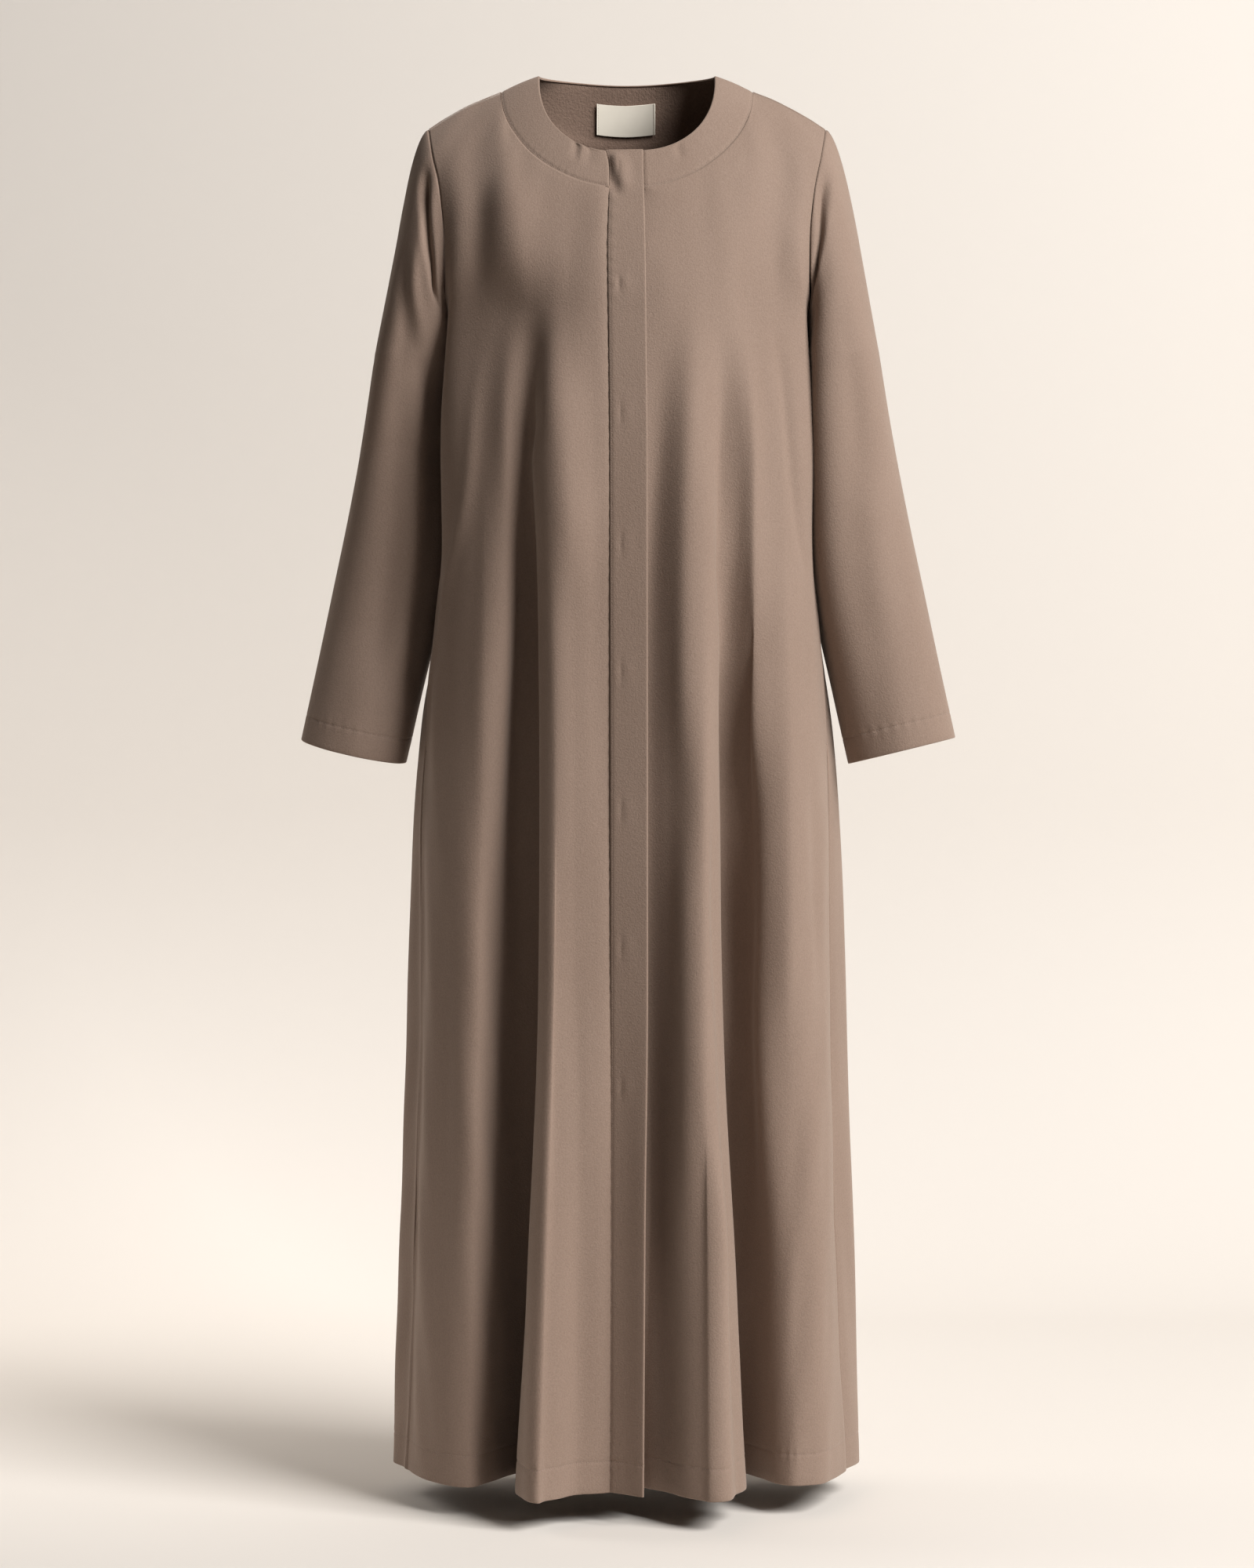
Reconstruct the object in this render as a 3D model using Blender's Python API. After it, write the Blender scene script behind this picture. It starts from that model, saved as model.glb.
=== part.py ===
"""Abaya cloak, worn and hollow: an open-front cloak with a concealed button band.

Origin: midway between the two high points of the shoulders, where a wearer holds it up.
The wearer faces -Y, so the wearer's right side is at -X. All sizes in the tables are millimetres.
"""
import math

import bpy
import numpy as np

# ---------------------------------------------------------------- sizes (millimetres)
LENGTH = 1420.0            # high point of the shoulder to the hem
CLOTH = 1.6                # wall of the cloth
SEAM_GAP = 0.3             # clearance between two pieces that are sewn together
NECK_HALF_WIDTH = 89.6
NECK_FRONT_DROP = 89.5
NECK_FRONT_REACH = 70.0    # how far forward the front neck edge stands
NECK_BACK_REACH = 63.0
BAND_HALF_WIDTH = 128.8    # outer end of the neck band on the shoulder seam
BAND_SHOULDER_DROP = 16.8
BAND_FRONT_DROP = 113.3    # fall of the band's front seam below its shoulder end
BAND_FRONT_REACH = 90.0
BAND_BACK_DROP = 41.8
BAND_BACK_REACH = 82.5
SHOULDER_TIP = (203.0, 0.0, -55.0)
SHOULDER_ROUND = 3.2       # rise of the shoulder seam above a straight line
UNDERARM_Z = -255.0
BUTTON_BAND_HALF = 18.3
BUTTON_BAND_WALL = 1.8
UNDERLAP_SINK = 5.0        # the underlap's face lies this far behind the button band's face
UNDERLAP_PAST_CENTRE = 15.0
BUTTON_RADIUS = 5.5
BUTTON_THICK = 2.0
BUTTON_LEVELS = (-106, -236, -360, -490, -622, -757, -892, -1030)
LABEL_SIZE = (59.0, 34.0, 0.9)
POCKET_TOP, POCKET_BOTTOM = -500.0, -790.0
SLIT_TOP, SLIT_BOTTOM = -516.0, -687.0
SLIT_GAP = 1.4
UPPER_ROWS = 9             # rows of panels from the shoulder to the underarm
LOWER_ROWS = 22            # rows of panels from the underarm to the hem
CAP_ROWS = 7
TUBE_ROWS = 9

# Levels at which the fold tables below give each line's place.
LEVELS = np.array((UNDERARM_Z, -340.0, -500.0, -720.0, -1000.0, -1220.0, -LENGTH))

# Each row is one line that runs down a panel: its name, the columns of faces up to the next row,
# its place on the top edge (degrees round the neck band's seam, or minus the share of the
# shoulder seam), then (sideways, forward) at each of LEVELS.
RIGHT_FRONT = (
    ("band edge", 1, 81.0, ((18.5, 121), (18.5, 126), (18.5, 124), (18.5, 121), (18.5, 120), (18.5, 120), (18.5, 121))),
    ("flat", 3, 66.0, ((50, 118), (50, 123), (50, 124), (50, 124), (50, 125), (49, 126), (49, 128))),
    ("fold crest", 3, 48.0, ((80, 108), (80, 115), (76, 121), (72, 128), (74, 144), (79, 163), (83, 182))),
    ("fold edge", 3, 34.0, ((92, 102), (92, 108), (87, 110), (84, 112), (88, 118), (98, 126), (108, 135))),
    ("hollow", 2, 17.0, ((101, 97), (100, 97), (93, 76), (88, 54), (87, 34), (91, 18), (97, 8))),
    ("hollow floor", 4, 0.0, ((112, 90), (111, 92), (107, 76), (105, 52), (104, 38), (107, 30), (113, 28))),
    ("side crest", 3, -0.30, ((140, 74), (142, 82), (142, 84), (146, 86), (152, 92), (156, 94), (159, 96))),
    ("side face", 2, -0.66, ((181, 44), (187, 46), (184, 46), (194, 44), (202, 44), (208, 42), (213, 38))),
    ("side seam", 0, -1.0, ((180, 0), (184, 0), (190, 12), (206.5, 8), (209.5, 4), (214, 3), (221, 2))),
)
LEFT_FRONT = (
    ("beside band", 2, 81.0, ((20, 116), (20, 120), (20, 117), (20, 111), (20, 105), (20, 101), (20, 97))),
    ("near valley", 2, 66.0, ((48, 115), (47, 119), (43, 117), (40, 113), (40, 114), (41, 119), (42, 124))),
    ("fold crest", 3, 50.0, ((78, 108), (78, 113), (80, 118), (80, 124), (78, 140), (78, 154), (78, 168))),
    ("fold edge", 3, 34.0, ((98, 99), (97, 104), (92, 108), (88, 110), (95, 122), (105, 128), (115, 131))),
    ("hollow", 2, 17.0, ((111, 91), (112, 92), (109, 82), (106, 66), (98, 40), (101, 24), (107, 12))),
    ("hollow rise", 4, 0.0, ((124, 83), (127, 82), (122, 76), (122, 60), (116, 46), (118, 36), (122, 30))),
    ("side crest", 3, -0.34, ((146, 70), (150, 76), (157, 76), (163, 82), (163, 94), (164, 98), (166, 101))),
    ("side face", 2, -0.68, ((181, 44), (187, 46), (184, 46), (193, 48), (199, 54), (202, 58), (205, 60))),
    ("side seam", 0, -1.0, ((180, 0), (184, 0), (190, 12), (206, 8), (209.5, 4), (216, 4), (225, 6))),
)
# The back's half, from the side seam to the centre, with the shift of its wearer's-left twin at the hem.
BACK_HALF = (
    ("flank", 3, -0.90, ((184, 28), (188, 30), (197, 34), (217, 32), (228, 34), (235, 34), (240.5, 32)), (-1, 4)),
    ("side crest", 2, -0.66, ((174, 62), (175, 68), (178, 73), (188, 82), (198, 86), (206, 88), (214, 92)), (-4, 6)),
    ("outer crest", 3, -0.34, ((140, 84), (142, 90), (144, 97), (150, 107), (158, 114), (163, 120), (167, 126)), (-8, -8)),
    ("valley", 3, 0.0, ((110, 97), (110, 101), (109, 96), (109, 86), (110, 76), (110, 68), (110, 62)), (-10, 14)),
    ("fold edge", 2, 22.0, ((88, 102), (88, 107), (91, 112), (95, 117), (100, 120), (107, 124), (115, 130)), (-12, -4)),
    ("fold crest", 3, 44.0, ((64, 104), (65, 109), (68, 117), (72, 129), (76, 142), (80, 153), (84, 164)), (-10, -10)),
    ("inner slope", 2, 68.0, ((33, 105), (33, 110), (34, 112), (36, 115), (38, 119), (38, 123), (38, 127)), (-6, -4)),
    ("centre", 0, 90.0, ((0, 105), (0, 110), (0, 108), (0, 104), (0, 100), (0, 98), (0, 98)), (0, 0)),
)

# The armhole, shoulder tip to underarm: (sideways, backward, up) in front and behind.
ARMHOLE_FRONT = ((203, 0, -55), (197.5, -25, -84), (190.5, -41, -116), (185, -50, -160),
                 (184, -50, -204), (184, -38, -235), (182.5, -18, -251), (180, 0, -255))
ARMHOLE_BACK = ((203, 0, -55), (197.5, 27, -84), (191, 45, -118), (186, 56, -162),
                (185, 57, -206), (185, 44, -237), (183, 21, -251), (180, 0, -255))

# Rings of the sleeve: outer and inner line (sideways, up), half depth and how far behind it sits.
SLEEVE_RINGS = (
    ("upper arm", (257.5, -283), (180.0, -300), 68, 6),
    ("biceps", (272.0, -366), (178.5, -386), 66, 14),
    ("elbow", (288.5, -449), (180.5, -470), 62, 19),
    ("forearm", (306.0, -530), (194.0, -553), 58, 22),
    ("wrist", (321.5, -603), (210.5, -627), 54, 22),
    ("cuff", (337.0, -674), (227.0, -701), 49, 19),
)
SLEEVE_CLEAR = 3.6         # room kept between the hanging sleeve and the body


# ---------------------------------------------------------------- curves
def through(points, steps):
    """Smooth curve through the points (..., K, D): steps[k] faces between point k and k + 1."""
    points = np.asarray(points, float)
    chord = np.diff(points, axis=-2)
    length = np.linalg.norm(chord, axis=-1, keepdims=True) + 1e-9
    lean = chord / length
    before, after = length[..., :-1, :], length[..., 1:, :]
    inner = (after * lean[..., :-1, :] + before * lean[..., 1:, :]) / (before + after)
    tangent = np.concatenate((lean[..., :1, :], inner, lean[..., -1:, :]), axis=-2)
    out = []
    for k, count in enumerate(steps):
        for u in np.arange(count) / count:
            out.append(hermite(points[..., k, :], points[..., k + 1, :],
                               tangent[..., k, :] * length[..., k, :],
                               tangent[..., k + 1, :] * length[..., k, :], u))
    out.append(points[..., -1, :])
    return np.stack(out, axis=-2)


def hermite(start, end, leave, arrive, u):
    """Point at share u of the curve that leaves start along `leave` and meets end along `arrive`."""
    u2, u3 = u * u, u * u * u
    return ((2 * u3 - 3 * u2 + 1) * start + (u3 - 2 * u2 + u) * leave
            + (3 * u2 - 2 * u3) * end + (u3 - u2) * arrive)


def at_level(values, z, levels=LEVELS):
    """Values given at the levels (first axis), smoothly read at height z."""
    values = np.asarray(values, float)
    down = -levels
    slope = np.gradient(values, down, axis=0)
    k = int(np.clip(np.searchsorted(down, -z) - 1, 0, len(down) - 2))
    span = down[k + 1] - down[k]
    return hermite(values[k], values[k + 1], slope[k] * span, slope[k + 1] * span, (-z - down[k]) / span)


def along(points, shares):
    """Points at the given shares of the length of the smooth curve through `points`."""
    fine = through(points, [12] * (len(points) - 1))
    run = np.concatenate(([0.0], np.cumsum(np.linalg.norm(np.diff(fine, axis=0), axis=1))))
    return np.stack([np.interp(np.asarray(shares) * run[-1], run, fine[:, i]) for i in range(3)], axis=1)


def spread(table, column=2):
    """One value of the table for each column of faces, evenly spaced between its lines."""
    out = []
    for row, following in zip(table, table[1:]):
        out += [row[column] + (following[column] - row[column]) * i / row[1] for i in range(row[1])]
    return np.array(out + [table[-1][column]])


# ---------------------------------------------------------------- neck and shoulder lines
def neck_front(turn, side):
    """Front neck edge at `turn` degrees from the shoulder."""
    c, s = math.cos(math.radians(turn)), math.sin(math.radians(turn))
    fall = s ** (2 / 2.35)
    return np.array((side * NECK_HALF_WIDTH * c ** (2 / 2.35), -NECK_FRONT_REACH * fall ** 0.82,
                     -NECK_FRONT_DROP * fall))


def neck_back(turn, side):
    """Back neck edge at `turn` degrees from the shoulder."""
    c, s = math.cos(math.radians(turn)), math.sin(math.radians(turn))
    return np.array((side * NECK_HALF_WIDTH * c, NECK_BACK_REACH * s, 1.4 * s + 5.0 * s * c))


def band_front(turn, side):
    """Lower seam of the front neck band at `turn` degrees from the shoulder."""
    c, s = math.cos(math.radians(turn)), math.sin(math.radians(turn))
    fall = s ** (2 / 1.9)
    return np.array((side * BAND_HALF_WIDTH * c ** (2 / 1.9), -BAND_FRONT_REACH * fall ** 0.86,
                     -BAND_SHOULDER_DROP - BAND_FRONT_DROP * fall))


def band_back(turn, side):
    """Lower seam of the back neck band at `turn` degrees from the shoulder."""
    c, s = math.cos(math.radians(turn)), math.sin(math.radians(turn))
    return np.array((side * BAND_HALF_WIDTH * c ** 0.95, BAND_BACK_REACH * s ** 0.95,
                     -BAND_SHOULDER_DROP - BAND_BACK_DROP * s ** 1.6))


def top_point(place, side, seam):
    """A panel's top edge: the band's seam where place > 0, the shoulder seam where it is below."""
    if place >= 0:
        return seam(place, side)
    start = seam(0.0, side)
    tip = np.array((side * SHOULDER_TIP[0], SHOULDER_TIP[1], SHOULDER_TIP[2]))
    point = start + (tip - start) * -place
    point[2] += SHOULDER_ROUND * math.sin(math.pi * -place)
    return point


# ---------------------------------------------------------------- the sleeve's rings
def sleeve_ring(z_share):
    """Outer line, inner line, half depth and setback at a share of the way down the sleeve."""
    rings = [np.array(ring[1] + ring[2] + (ring[3], ring[4]), float) for ring in SLEEVE_RINGS]
    place = z_share * (len(rings) - 1)
    return at_level(np.array(rings), -place, levels=-np.arange(len(rings), dtype=float))


def press(points, z, sleeve):
    """The body's level section gives way where the sleeve hangs against it."""
    if z >= UNDERARM_Z or z < SLEEVE_RINGS[-1][2][1] - 12:
        return points
    turn = np.arange(UPPER_ROWS // 2, 2 * UPPER_ROWS - UPPER_ROWS // 2 + 1)
    places = np.array([[np.interp(-z, -sleeve[:, j, 2], sleeve[:, j, i]) for i in (0, 1)]
                       for j in turn if sleeve[0, j, 2] > z])
    places = places[np.argsort(places[:, 1])]
    wall_x = np.interp(points[:, 1], places[:, 1], places[:, 0], left=1e3, right=1e3) - SLEEVE_CLEAR
    away = np.clip(np.abs(points[:, 0]) - wall_x, 0, None)
    out = points.copy()
    out[:, 0] -= np.sign(points[:, 0]) * away
    return out


# ---------------------------------------------------------------- the body as one cloth, then cut
def lines_at(table, z, side, front):
    """Level places of the table's lines at height z."""
    places = np.array([row[3] for row in table], float)
    level = at_level(places.transpose(1, 0, 2), z)
    return level * np.array((side, -1.0 if front else 1.0))


def back_lines_at(z, side):
    """Level places of the back's lines on one side, the wearer's left twin shifted a little."""
    level = lines_at(BACK_HALF, z, side, False)
    if side > 0:
        grow = ((UNDERARM_Z - z) / (LENGTH + UNDERARM_Z)) ** 1.3
        level = level + np.array([row[4] for row in BACK_HALF], float) * grow
    return level


def body_ring(z, sleeve):
    """Level ring of the body at height z: right front, back, left front, as one smooth curve."""
    right = lines_at(RIGHT_FRONT, z, -1, True)
    left = lines_at(LEFT_FRONT, z, 1, True)
    behind = np.concatenate((back_lines_at(z, -1), back_lines_at(z, 1)[::-1][1:]))
    chain = np.concatenate((right, behind, left[::-1]))
    half = [row[1] for row in BACK_HALF[:-1]]
    steps = ([row[1] for row in RIGHT_FRONT[:-1]] + [2] + half + half[::-1] + [2]
             + [row[1] for row in LEFT_FRONT[:-1]][::-1])
    ring = press(through(chain, steps), z, sleeve)
    return np.column_stack((ring, np.full(len(ring), z)))


def upper_panel(bottom, places, side, seam, armholes):
    """Rows from the top edge down to the underarm, each column rounding over the shoulder."""
    rows = np.zeros((UPPER_ROWS + 1, len(bottom), 3))
    shares = np.arange(UPPER_ROWS + 1) / UPPER_ROWS
    for j, place in enumerate(places):
        top = top_point(place, side(place, j), seam)
        bend = 1.75 + 1.25 * np.clip((60 - place) / 60, 0, 1)
        rows[:, j, 0] = top[0] + (bottom[j, 0] - top[0]) * (0.75 * shares + 0.25 * shares ** 2)
        rows[:, j, 1] = top[1] + (bottom[j, 1] - top[1]) * (1 - (1 - shares) ** bend)
        rows[:, j, 2] = top[2] + (bottom[j, 2] - top[2]) * shares
    for edge, crest, armhole, hand in armholes:
        hole = along(np.array(armhole) * np.array((hand, 1, 1)), shares)
        plain = rows[:, crest].copy()
        for j in range(min(edge, crest), max(edge, crest) + 1):
            part = (places[j] - places[crest]) / (places[edge] - places[crest])
            settle = bottom[j] - (plain[-1] * (1 - part) + hole[-1] * part)
            lift = rows[0, j] - (plain[0] * (1 - part) + hole[0] * part)
            bulge = 4.0 * math.sin(math.pi * part) * np.sin(math.pi * shares)
            rows[:, j] = (plain * (1 - part) + hole * part + settle * shares[:, None] ** 4
                          + lift * (1 - shares[:, None]) ** 4)
            rows[:, j, 0] += hand * 0.5 * bulge
            rows[:, j, 1] += np.sign(plain[-1, 1]) * 0.85 * bulge
    return rows


def body_panels(sleeve):
    """Outer faces of the three big pieces, as grids of rows by columns."""
    levels = UNDERARM_Z + (-LENGTH - UNDERARM_Z) * np.arange(LOWER_ROWS + 1) / LOWER_ROWS
    ring = np.stack([body_ring(z, sleeve) for z in levels])
    front_columns = sum(row[1] for row in RIGHT_FRONT)
    left_columns = sum(row[1] for row in LEFT_FRONT)
    right = ring[:, :front_columns + 1]
    left = ring[:, ring.shape[1] - left_columns - 1:][:, ::-1]
    behind = ring[:, front_columns:ring.shape[1] - left_columns]

    half = np.concatenate((np.array((-1.0, -0.95)), spread(BACK_HALF)))
    back_places = np.concatenate((half, half[::-1][1:]))
    middle = len(half) - 1
    last = len(back_places) - 1
    right_top = upper_panel(right[0], spread(RIGHT_FRONT), lambda p, j: -1, band_front,
                            [(front_columns, front_columns - 5, ARMHOLE_FRONT, -1)])
    left_top = upper_panel(left[0], spread(LEFT_FRONT), lambda p, j: 1, band_front,
                           [(left_columns, left_columns - 5, ARMHOLE_FRONT, 1)])
    back_top = upper_panel(behind[0], back_places, lambda p, j: -1 if j <= middle else 1, band_back,
                           [(0, 7, ARMHOLE_BACK, -1), (last, last - 7, ARMHOLE_BACK, 1)])
    return {
        "right": np.concatenate((right_top, right[1:])),
        "left": np.concatenate((left_top, left[1:])),
        "back": np.concatenate((back_top, behind[1:])),
        "back_places": back_places,
    }


# ---------------------------------------------------------------- walls
def outward(grid, flip):
    """Unit normals of a grid of rows by columns."""
    down, across = np.gradient(grid, axis=0), np.gradient(grid, axis=1)
    normal = np.cross(across, down) * (-1 if flip else 1)
    return normal / (np.linalg.norm(normal, axis=2, keepdims=True) + 1e-12)


def share(first, second):
    """One direction for both pieces along a common seam."""
    both = first + second
    return both / np.linalg.norm(both, axis=-1, keepdims=True)


def draw_in(grid, edge, by):
    """Move one edge of the grid towards its inside, so that sewn pieces stay apart."""
    view = {"first_column": (grid[:, 0], grid[:, 1]), "last_column": (grid[:, -1], grid[:, -2]),
            "top": (grid[0], grid[1]), "bottom": (grid[-1], grid[-2])}[edge]
    along_edge = np.gradient(view[0], axis=0)
    along_edge /= np.linalg.norm(along_edge, axis=1, keepdims=True)
    step = view[1] - view[0]
    step = step - along_edge * np.sum(step * along_edge, axis=1, keepdims=True)
    length = np.linalg.norm(step, axis=1, keepdims=True)
    view[0][...] += step / length * np.asarray(by).reshape(-1, 1)


def wall(name, outer, normal, thick, colour, flip, closed=False):
    """Closed wall between the outer grid and the same grid moved in by its thickness."""
    rows, columns = outer.shape[:2]
    inner = outer - normal * thick
    vertices = np.concatenate((outer.reshape(-1, 3), inner.reshape(-1, 3))) * 0.001
    index = np.arange(rows * columns).reshape(rows, columns)
    if closed:
        index = np.concatenate((index, index[:, :1]), axis=1)
    step = rows * columns
    a, b, c, d = index[:-1, :-1], index[1:, :-1], index[1:, 1:], index[:-1, 1:]
    faces = [np.stack((a, d, c, b), axis=-1).reshape(-1, 4),
             np.stack((a, b, c, d), axis=-1).reshape(-1, 4) + step]
    rims = [(index[0, :-1], index[0, 1:]), (index[-1, 1:], index[-1, :-1])]
    if not closed:
        rims += [(index[1:, 0], index[:-1, 0]), (index[:-1, -1], index[1:, -1])]
    for start, end in rims:
        faces.append(np.stack((start, start + step, end + step, end), axis=-1))
    faces = np.concatenate(faces)
    if flip:
        faces = faces[:, ::-1]
    return solid(name, vertices, faces, colour)


def solid(name, vertices, faces, colour):
    """One named object with its own material."""
    mesh = bpy.data.meshes.new(name)
    mesh.from_pydata(vertices.tolist(), [], faces.tolist())
    mesh.validate()
    for polygon in mesh.polygons:
        polygon.use_smooth = True
    material = bpy.data.materials.new(name)
    material.use_nodes = True
    shader = material.node_tree.nodes["Principled BSDF"]
    shader.inputs["Base Color"].default_value = (*colour, 1.0)
    shader.inputs["Roughness"].default_value = 0.85
    mesh.materials.append(material)
    item = bpy.data.objects.new(name, mesh)
    bpy.data.collections["abaya_cloak"].objects.link(item)
    return item


# ---------------------------------------------------------------- pieces
TAUPE = (0.23, 0.165, 0.13)
FACING_TAUPE = (0.19, 0.135, 0.105)
IVORY = (0.74, 0.68, 0.56)
BUTTON_BROWN = (0.12, 0.08, 0.06)


def sleeve_grid(side, armhole_columns):
    """Outer face of one sleeve: rows from the armhole to the cuff, columns round the arm."""
    around = 2 * UPPER_ROWS
    turn = 2 * math.pi * np.arange(around) / around
    ring_rows = []
    for i in range(TUBE_ROWS + 1):
        ring = sleeve_ring(i / TUBE_ROWS)
        centre = np.array((ring[0] + ring[2], 0, ring[1] + ring[3])) / 2
        reach = np.array((ring[0] - ring[2], 0, ring[1] - ring[3])) / 2
        points = (centre + np.outer(np.cos(turn), reach)
                  + np.outer(np.sin(turn), (0, -ring[4], 0)) + (0, ring[5], 0))
        ring_rows.append(points)
    first = ring_rows[0]
    start = armhole_columns
    low = ((1 - np.cos(turn)) / 2)[:, None] ** 2
    leave = np.column_stack((0.85 - 0.35 * low[:, 0], -0.16 * np.sin(turn), -0.5 - 0.4 * low[:, 0]))
    leave = leave / np.linalg.norm(leave, axis=1, keepdims=True) * (72 - 50 * low)
    down = np.array((0.19, 0, -0.98)) * np.linalg.norm(first - start, axis=1, keepdims=True) * 0.95
    cap = [hermite(start, first, leave, down, i / CAP_ROWS) for i in range(CAP_ROWS)]
    return np.stack(cap + ring_rows) * np.array((side, 1, 1))


def neck_band(places, side_of, neck, seam):
    """Outer face of a neck band: rows from the neck edge to the seam."""
    return np.array([[neck(p, side_of(j)) * (1 - step) + seam(p, side_of(j)) * step
                      for j, p in enumerate(places)] for step in (0.0, 0.5, 1.0)])


def with_underlap(grid, face):
    """The left front's side of the opening runs on beneath the button band, whose face is given."""
    extra = np.repeat(grid[:, :1], 2, axis=1)
    extra[:, 0, 0], extra[:, 1, 0] = -UNDERLAP_PAST_CENTRE, 0.0
    extra[:, :, 1] = (face + UNDERLAP_SINK)[:, None]
    grid = grid.copy()
    grid[:, 0, 1] = np.maximum(grid[:, 0, 1], face + UNDERLAP_SINK - 0.4)
    return np.concatenate((extra, grid), axis=1)


def cut_cloth():
    """Outer faces and wall directions of all the big pieces, before they are drawn in at the seams."""
    shares = np.arange(UPPER_ROWS + 1) / UPPER_ROWS
    loop = np.concatenate((along(ARMHOLE_FRONT, shares), along(ARMHOLE_BACK, shares)[-2:0:-1]))
    panels = body_panels(sleeve_grid(1, loop))
    right, left, back = panels["right"], panels["left"], panels["back"]
    places = panels["back_places"]
    middle = (len(places) - 1) // 2
    arc = [j for j, place in enumerate(places) if place >= 0]
    grids = {
        "front_right": right, "back": back,
        "neck_band_right": neck_band([p for p in spread(RIGHT_FRONT) if p >= 0], lambda j: -1,
                                     neck_front, band_front),
        "neck_band_left": neck_band([p for p in spread(LEFT_FRONT) if p >= 0], lambda j: 1,
                                    neck_front, band_front),
        "neck_band_back": neck_band([places[j] for j in arc], lambda j: -1 if arc[j] <= middle else 1,
                                    neck_back, band_back),
    }
    grids["front_left"] = with_underlap(left, right[:, 0, 1])
    grids["neck_band_left"] = with_underlap(grids["neck_band_left"], grids["neck_band_right"][:, 0, 1])
    grids["sleeve_left"] = sleeve_grid(1, loop)
    grids["sleeve_right"] = sleeve_grid(-1, loop)

    flip = {"front_left", "neck_band_left", "sleeve_right"}
    normals = {}
    for name, grid in grids.items():
        if name.startswith("sleeve"):
            round_grid = np.concatenate((grid[:, -1:], grid, grid[:, :1]), axis=1)
            normals[name] = outward(round_grid, name in flip)[:, 1:-1]
        else:
            normals[name] = outward(grid, name in flip)
    match_seams(normals, arc)
    return grids, normals, flip


def match_seams(normals, arc):
    """Both pieces at a seam take the same direction, so their walls stay apart all through."""
    right, left, back = normals["front_right"], normals["front_left"], normals["back"]
    top = UPPER_ROWS
    for front, back_column, sleeve, side in ((right, 0, normals["sleeve_right"], -1),
                                             (left, -1, normals["sleeve_left"], 1)):
        shoulder = np.array((side * 0.445, 0.0, 0.895))
        front[top + 1:, -1] = back[top + 1:, back_column] = share(front[top + 1:, -1],
                                                                 back[top + 1:, back_column])
        for row in range(1, top):
            for panel, column, place in ((front, -1, row), (back, back_column, -row)):
                if np.dot(panel[row, column], sleeve[0, place]) > 0.3:
                    both = share(panel[row, column], sleeve[0, place])
                    panel[row, column] = sleeve[0, place] = both
        front[top, -1] = back[top, back_column] = share(front[top, -1], back[top, back_column])
        sleeve[0, 0] = shoulder
    for panel, band in ((right, normals["neck_band_right"]), (left, normals["neck_band_left"])):
        count = band.shape[1]
        side = -1 if panel is right else 1
        panel[0, :count] = band[-1] = share(panel[0, :count], band[-1])
        panel[0, count - 1:] = band[:, -1] = np.array((side * 0.445, 0.0, 0.895))
    band = normals["neck_band_back"]
    back[0, arc] = band[-1] = share(back[0, arc], band[-1])
    first, last = arc[0], arc[-1]
    back[0, :first + 1] = band[:, 0] = np.array((-0.445, 0.0, 0.895))
    back[0, last:] = band[:, -1] = np.array((0.445, 0.0, 0.895))


def slit(levels):
    """Half gap along the side seam, opened where a hand goes into the pocket."""
    inside = (levels < SLIT_TOP) & (levels > SLIT_BOTTOM)
    return np.where(inside, SLIT_GAP / 2, SEAM_GAP / 2)


def make_cloth():
    grids, normals, flip = cut_cloth()
    half = SEAM_GAP / 2
    outer = {name: grid.copy() for name, grid in grids.items()}
    for name in ("front_right", "front_left"):
        draw_in(outer[name], "last_column", slit(grids[name][:, -1, 2]))
        draw_in(outer[name], "top", half)
    draw_in(outer["front_right"], "first_column", half)
    for edge in ("first_column", "last_column"):
        draw_in(outer["back"], edge, slit(grids["front_right"][:, -1, 2]))
        draw_in(outer["neck_band_back"], edge, half)
    draw_in(outer["back"], "top", half)
    draw_in(outer["neck_band_back"], "bottom", SEAM_GAP)
    draw_in(outer["neck_band_right"], "first_column", SEAM_GAP)
    for name in ("neck_band_right", "neck_band_left"):
        draw_in(outer[name], "last_column", half)
        draw_in(outer[name], "bottom", half)
    for name in ("sleeve_right", "sleeve_left"):
        draw_in(outer[name], "top", half)
    for name, grid in outer.items():
        wall(name, grid, normals[name], CLOTH, TAUPE, name in flip, name.startswith("sleeve"))
    return grids, normals


def make_button_band(grids):
    """The folded band along the right front, which lies over the buttons and the underlap."""
    edge = np.concatenate((grids["neck_band_right"][:, 0], grids["front_right"][1:, 0]))
    fall = np.clip((UNDERARM_Z - edge[:, 2]) / (LENGTH + UNDERARM_Z), 0, 1)
    face = np.stack([edge] * 4, axis=1)
    for i, x in enumerate(np.linspace(-BUTTON_BAND_HALF, BUTTON_BAND_HALF, 4)):
        face[:, i, 0] = x
        face[:, i, 1] += 12.0 * fall ** 2 * max(0.0, (x - 6.1) / (BUTTON_BAND_HALF - 6.1))
    direction = outward(face, True)
    wall("button_band", face, direction, BUTTON_BAND_WALL, TAUPE, True)
    for number, level in enumerate(BUTTON_LEVELS, 1):
        point = np.array([np.interp(-level, -face[:, 1, 2], face[:, 1, i]) for i in range(3)])
        lean = np.array([np.interp(-level, -face[:, 1, 2], direction[:, 1, i]) for i in range(3)])
        lean[0] = 0.0
        lean /= np.linalg.norm(lean)
        centre = point - lean * (BUTTON_BAND_WALL + 0.6 + BUTTON_THICK / 2)
        bpy.ops.mesh.primitive_cylinder_add(vertices=12, radius=BUTTON_RADIUS * 0.001,
                                            depth=BUTTON_THICK * 0.001, location=centre * 0.001,
                                            rotation=(math.atan2(-lean[1], lean[2]), 0, 0))
        adopt(bpy.context.object, f"button_{number}", BUTTON_BROWN)


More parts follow.
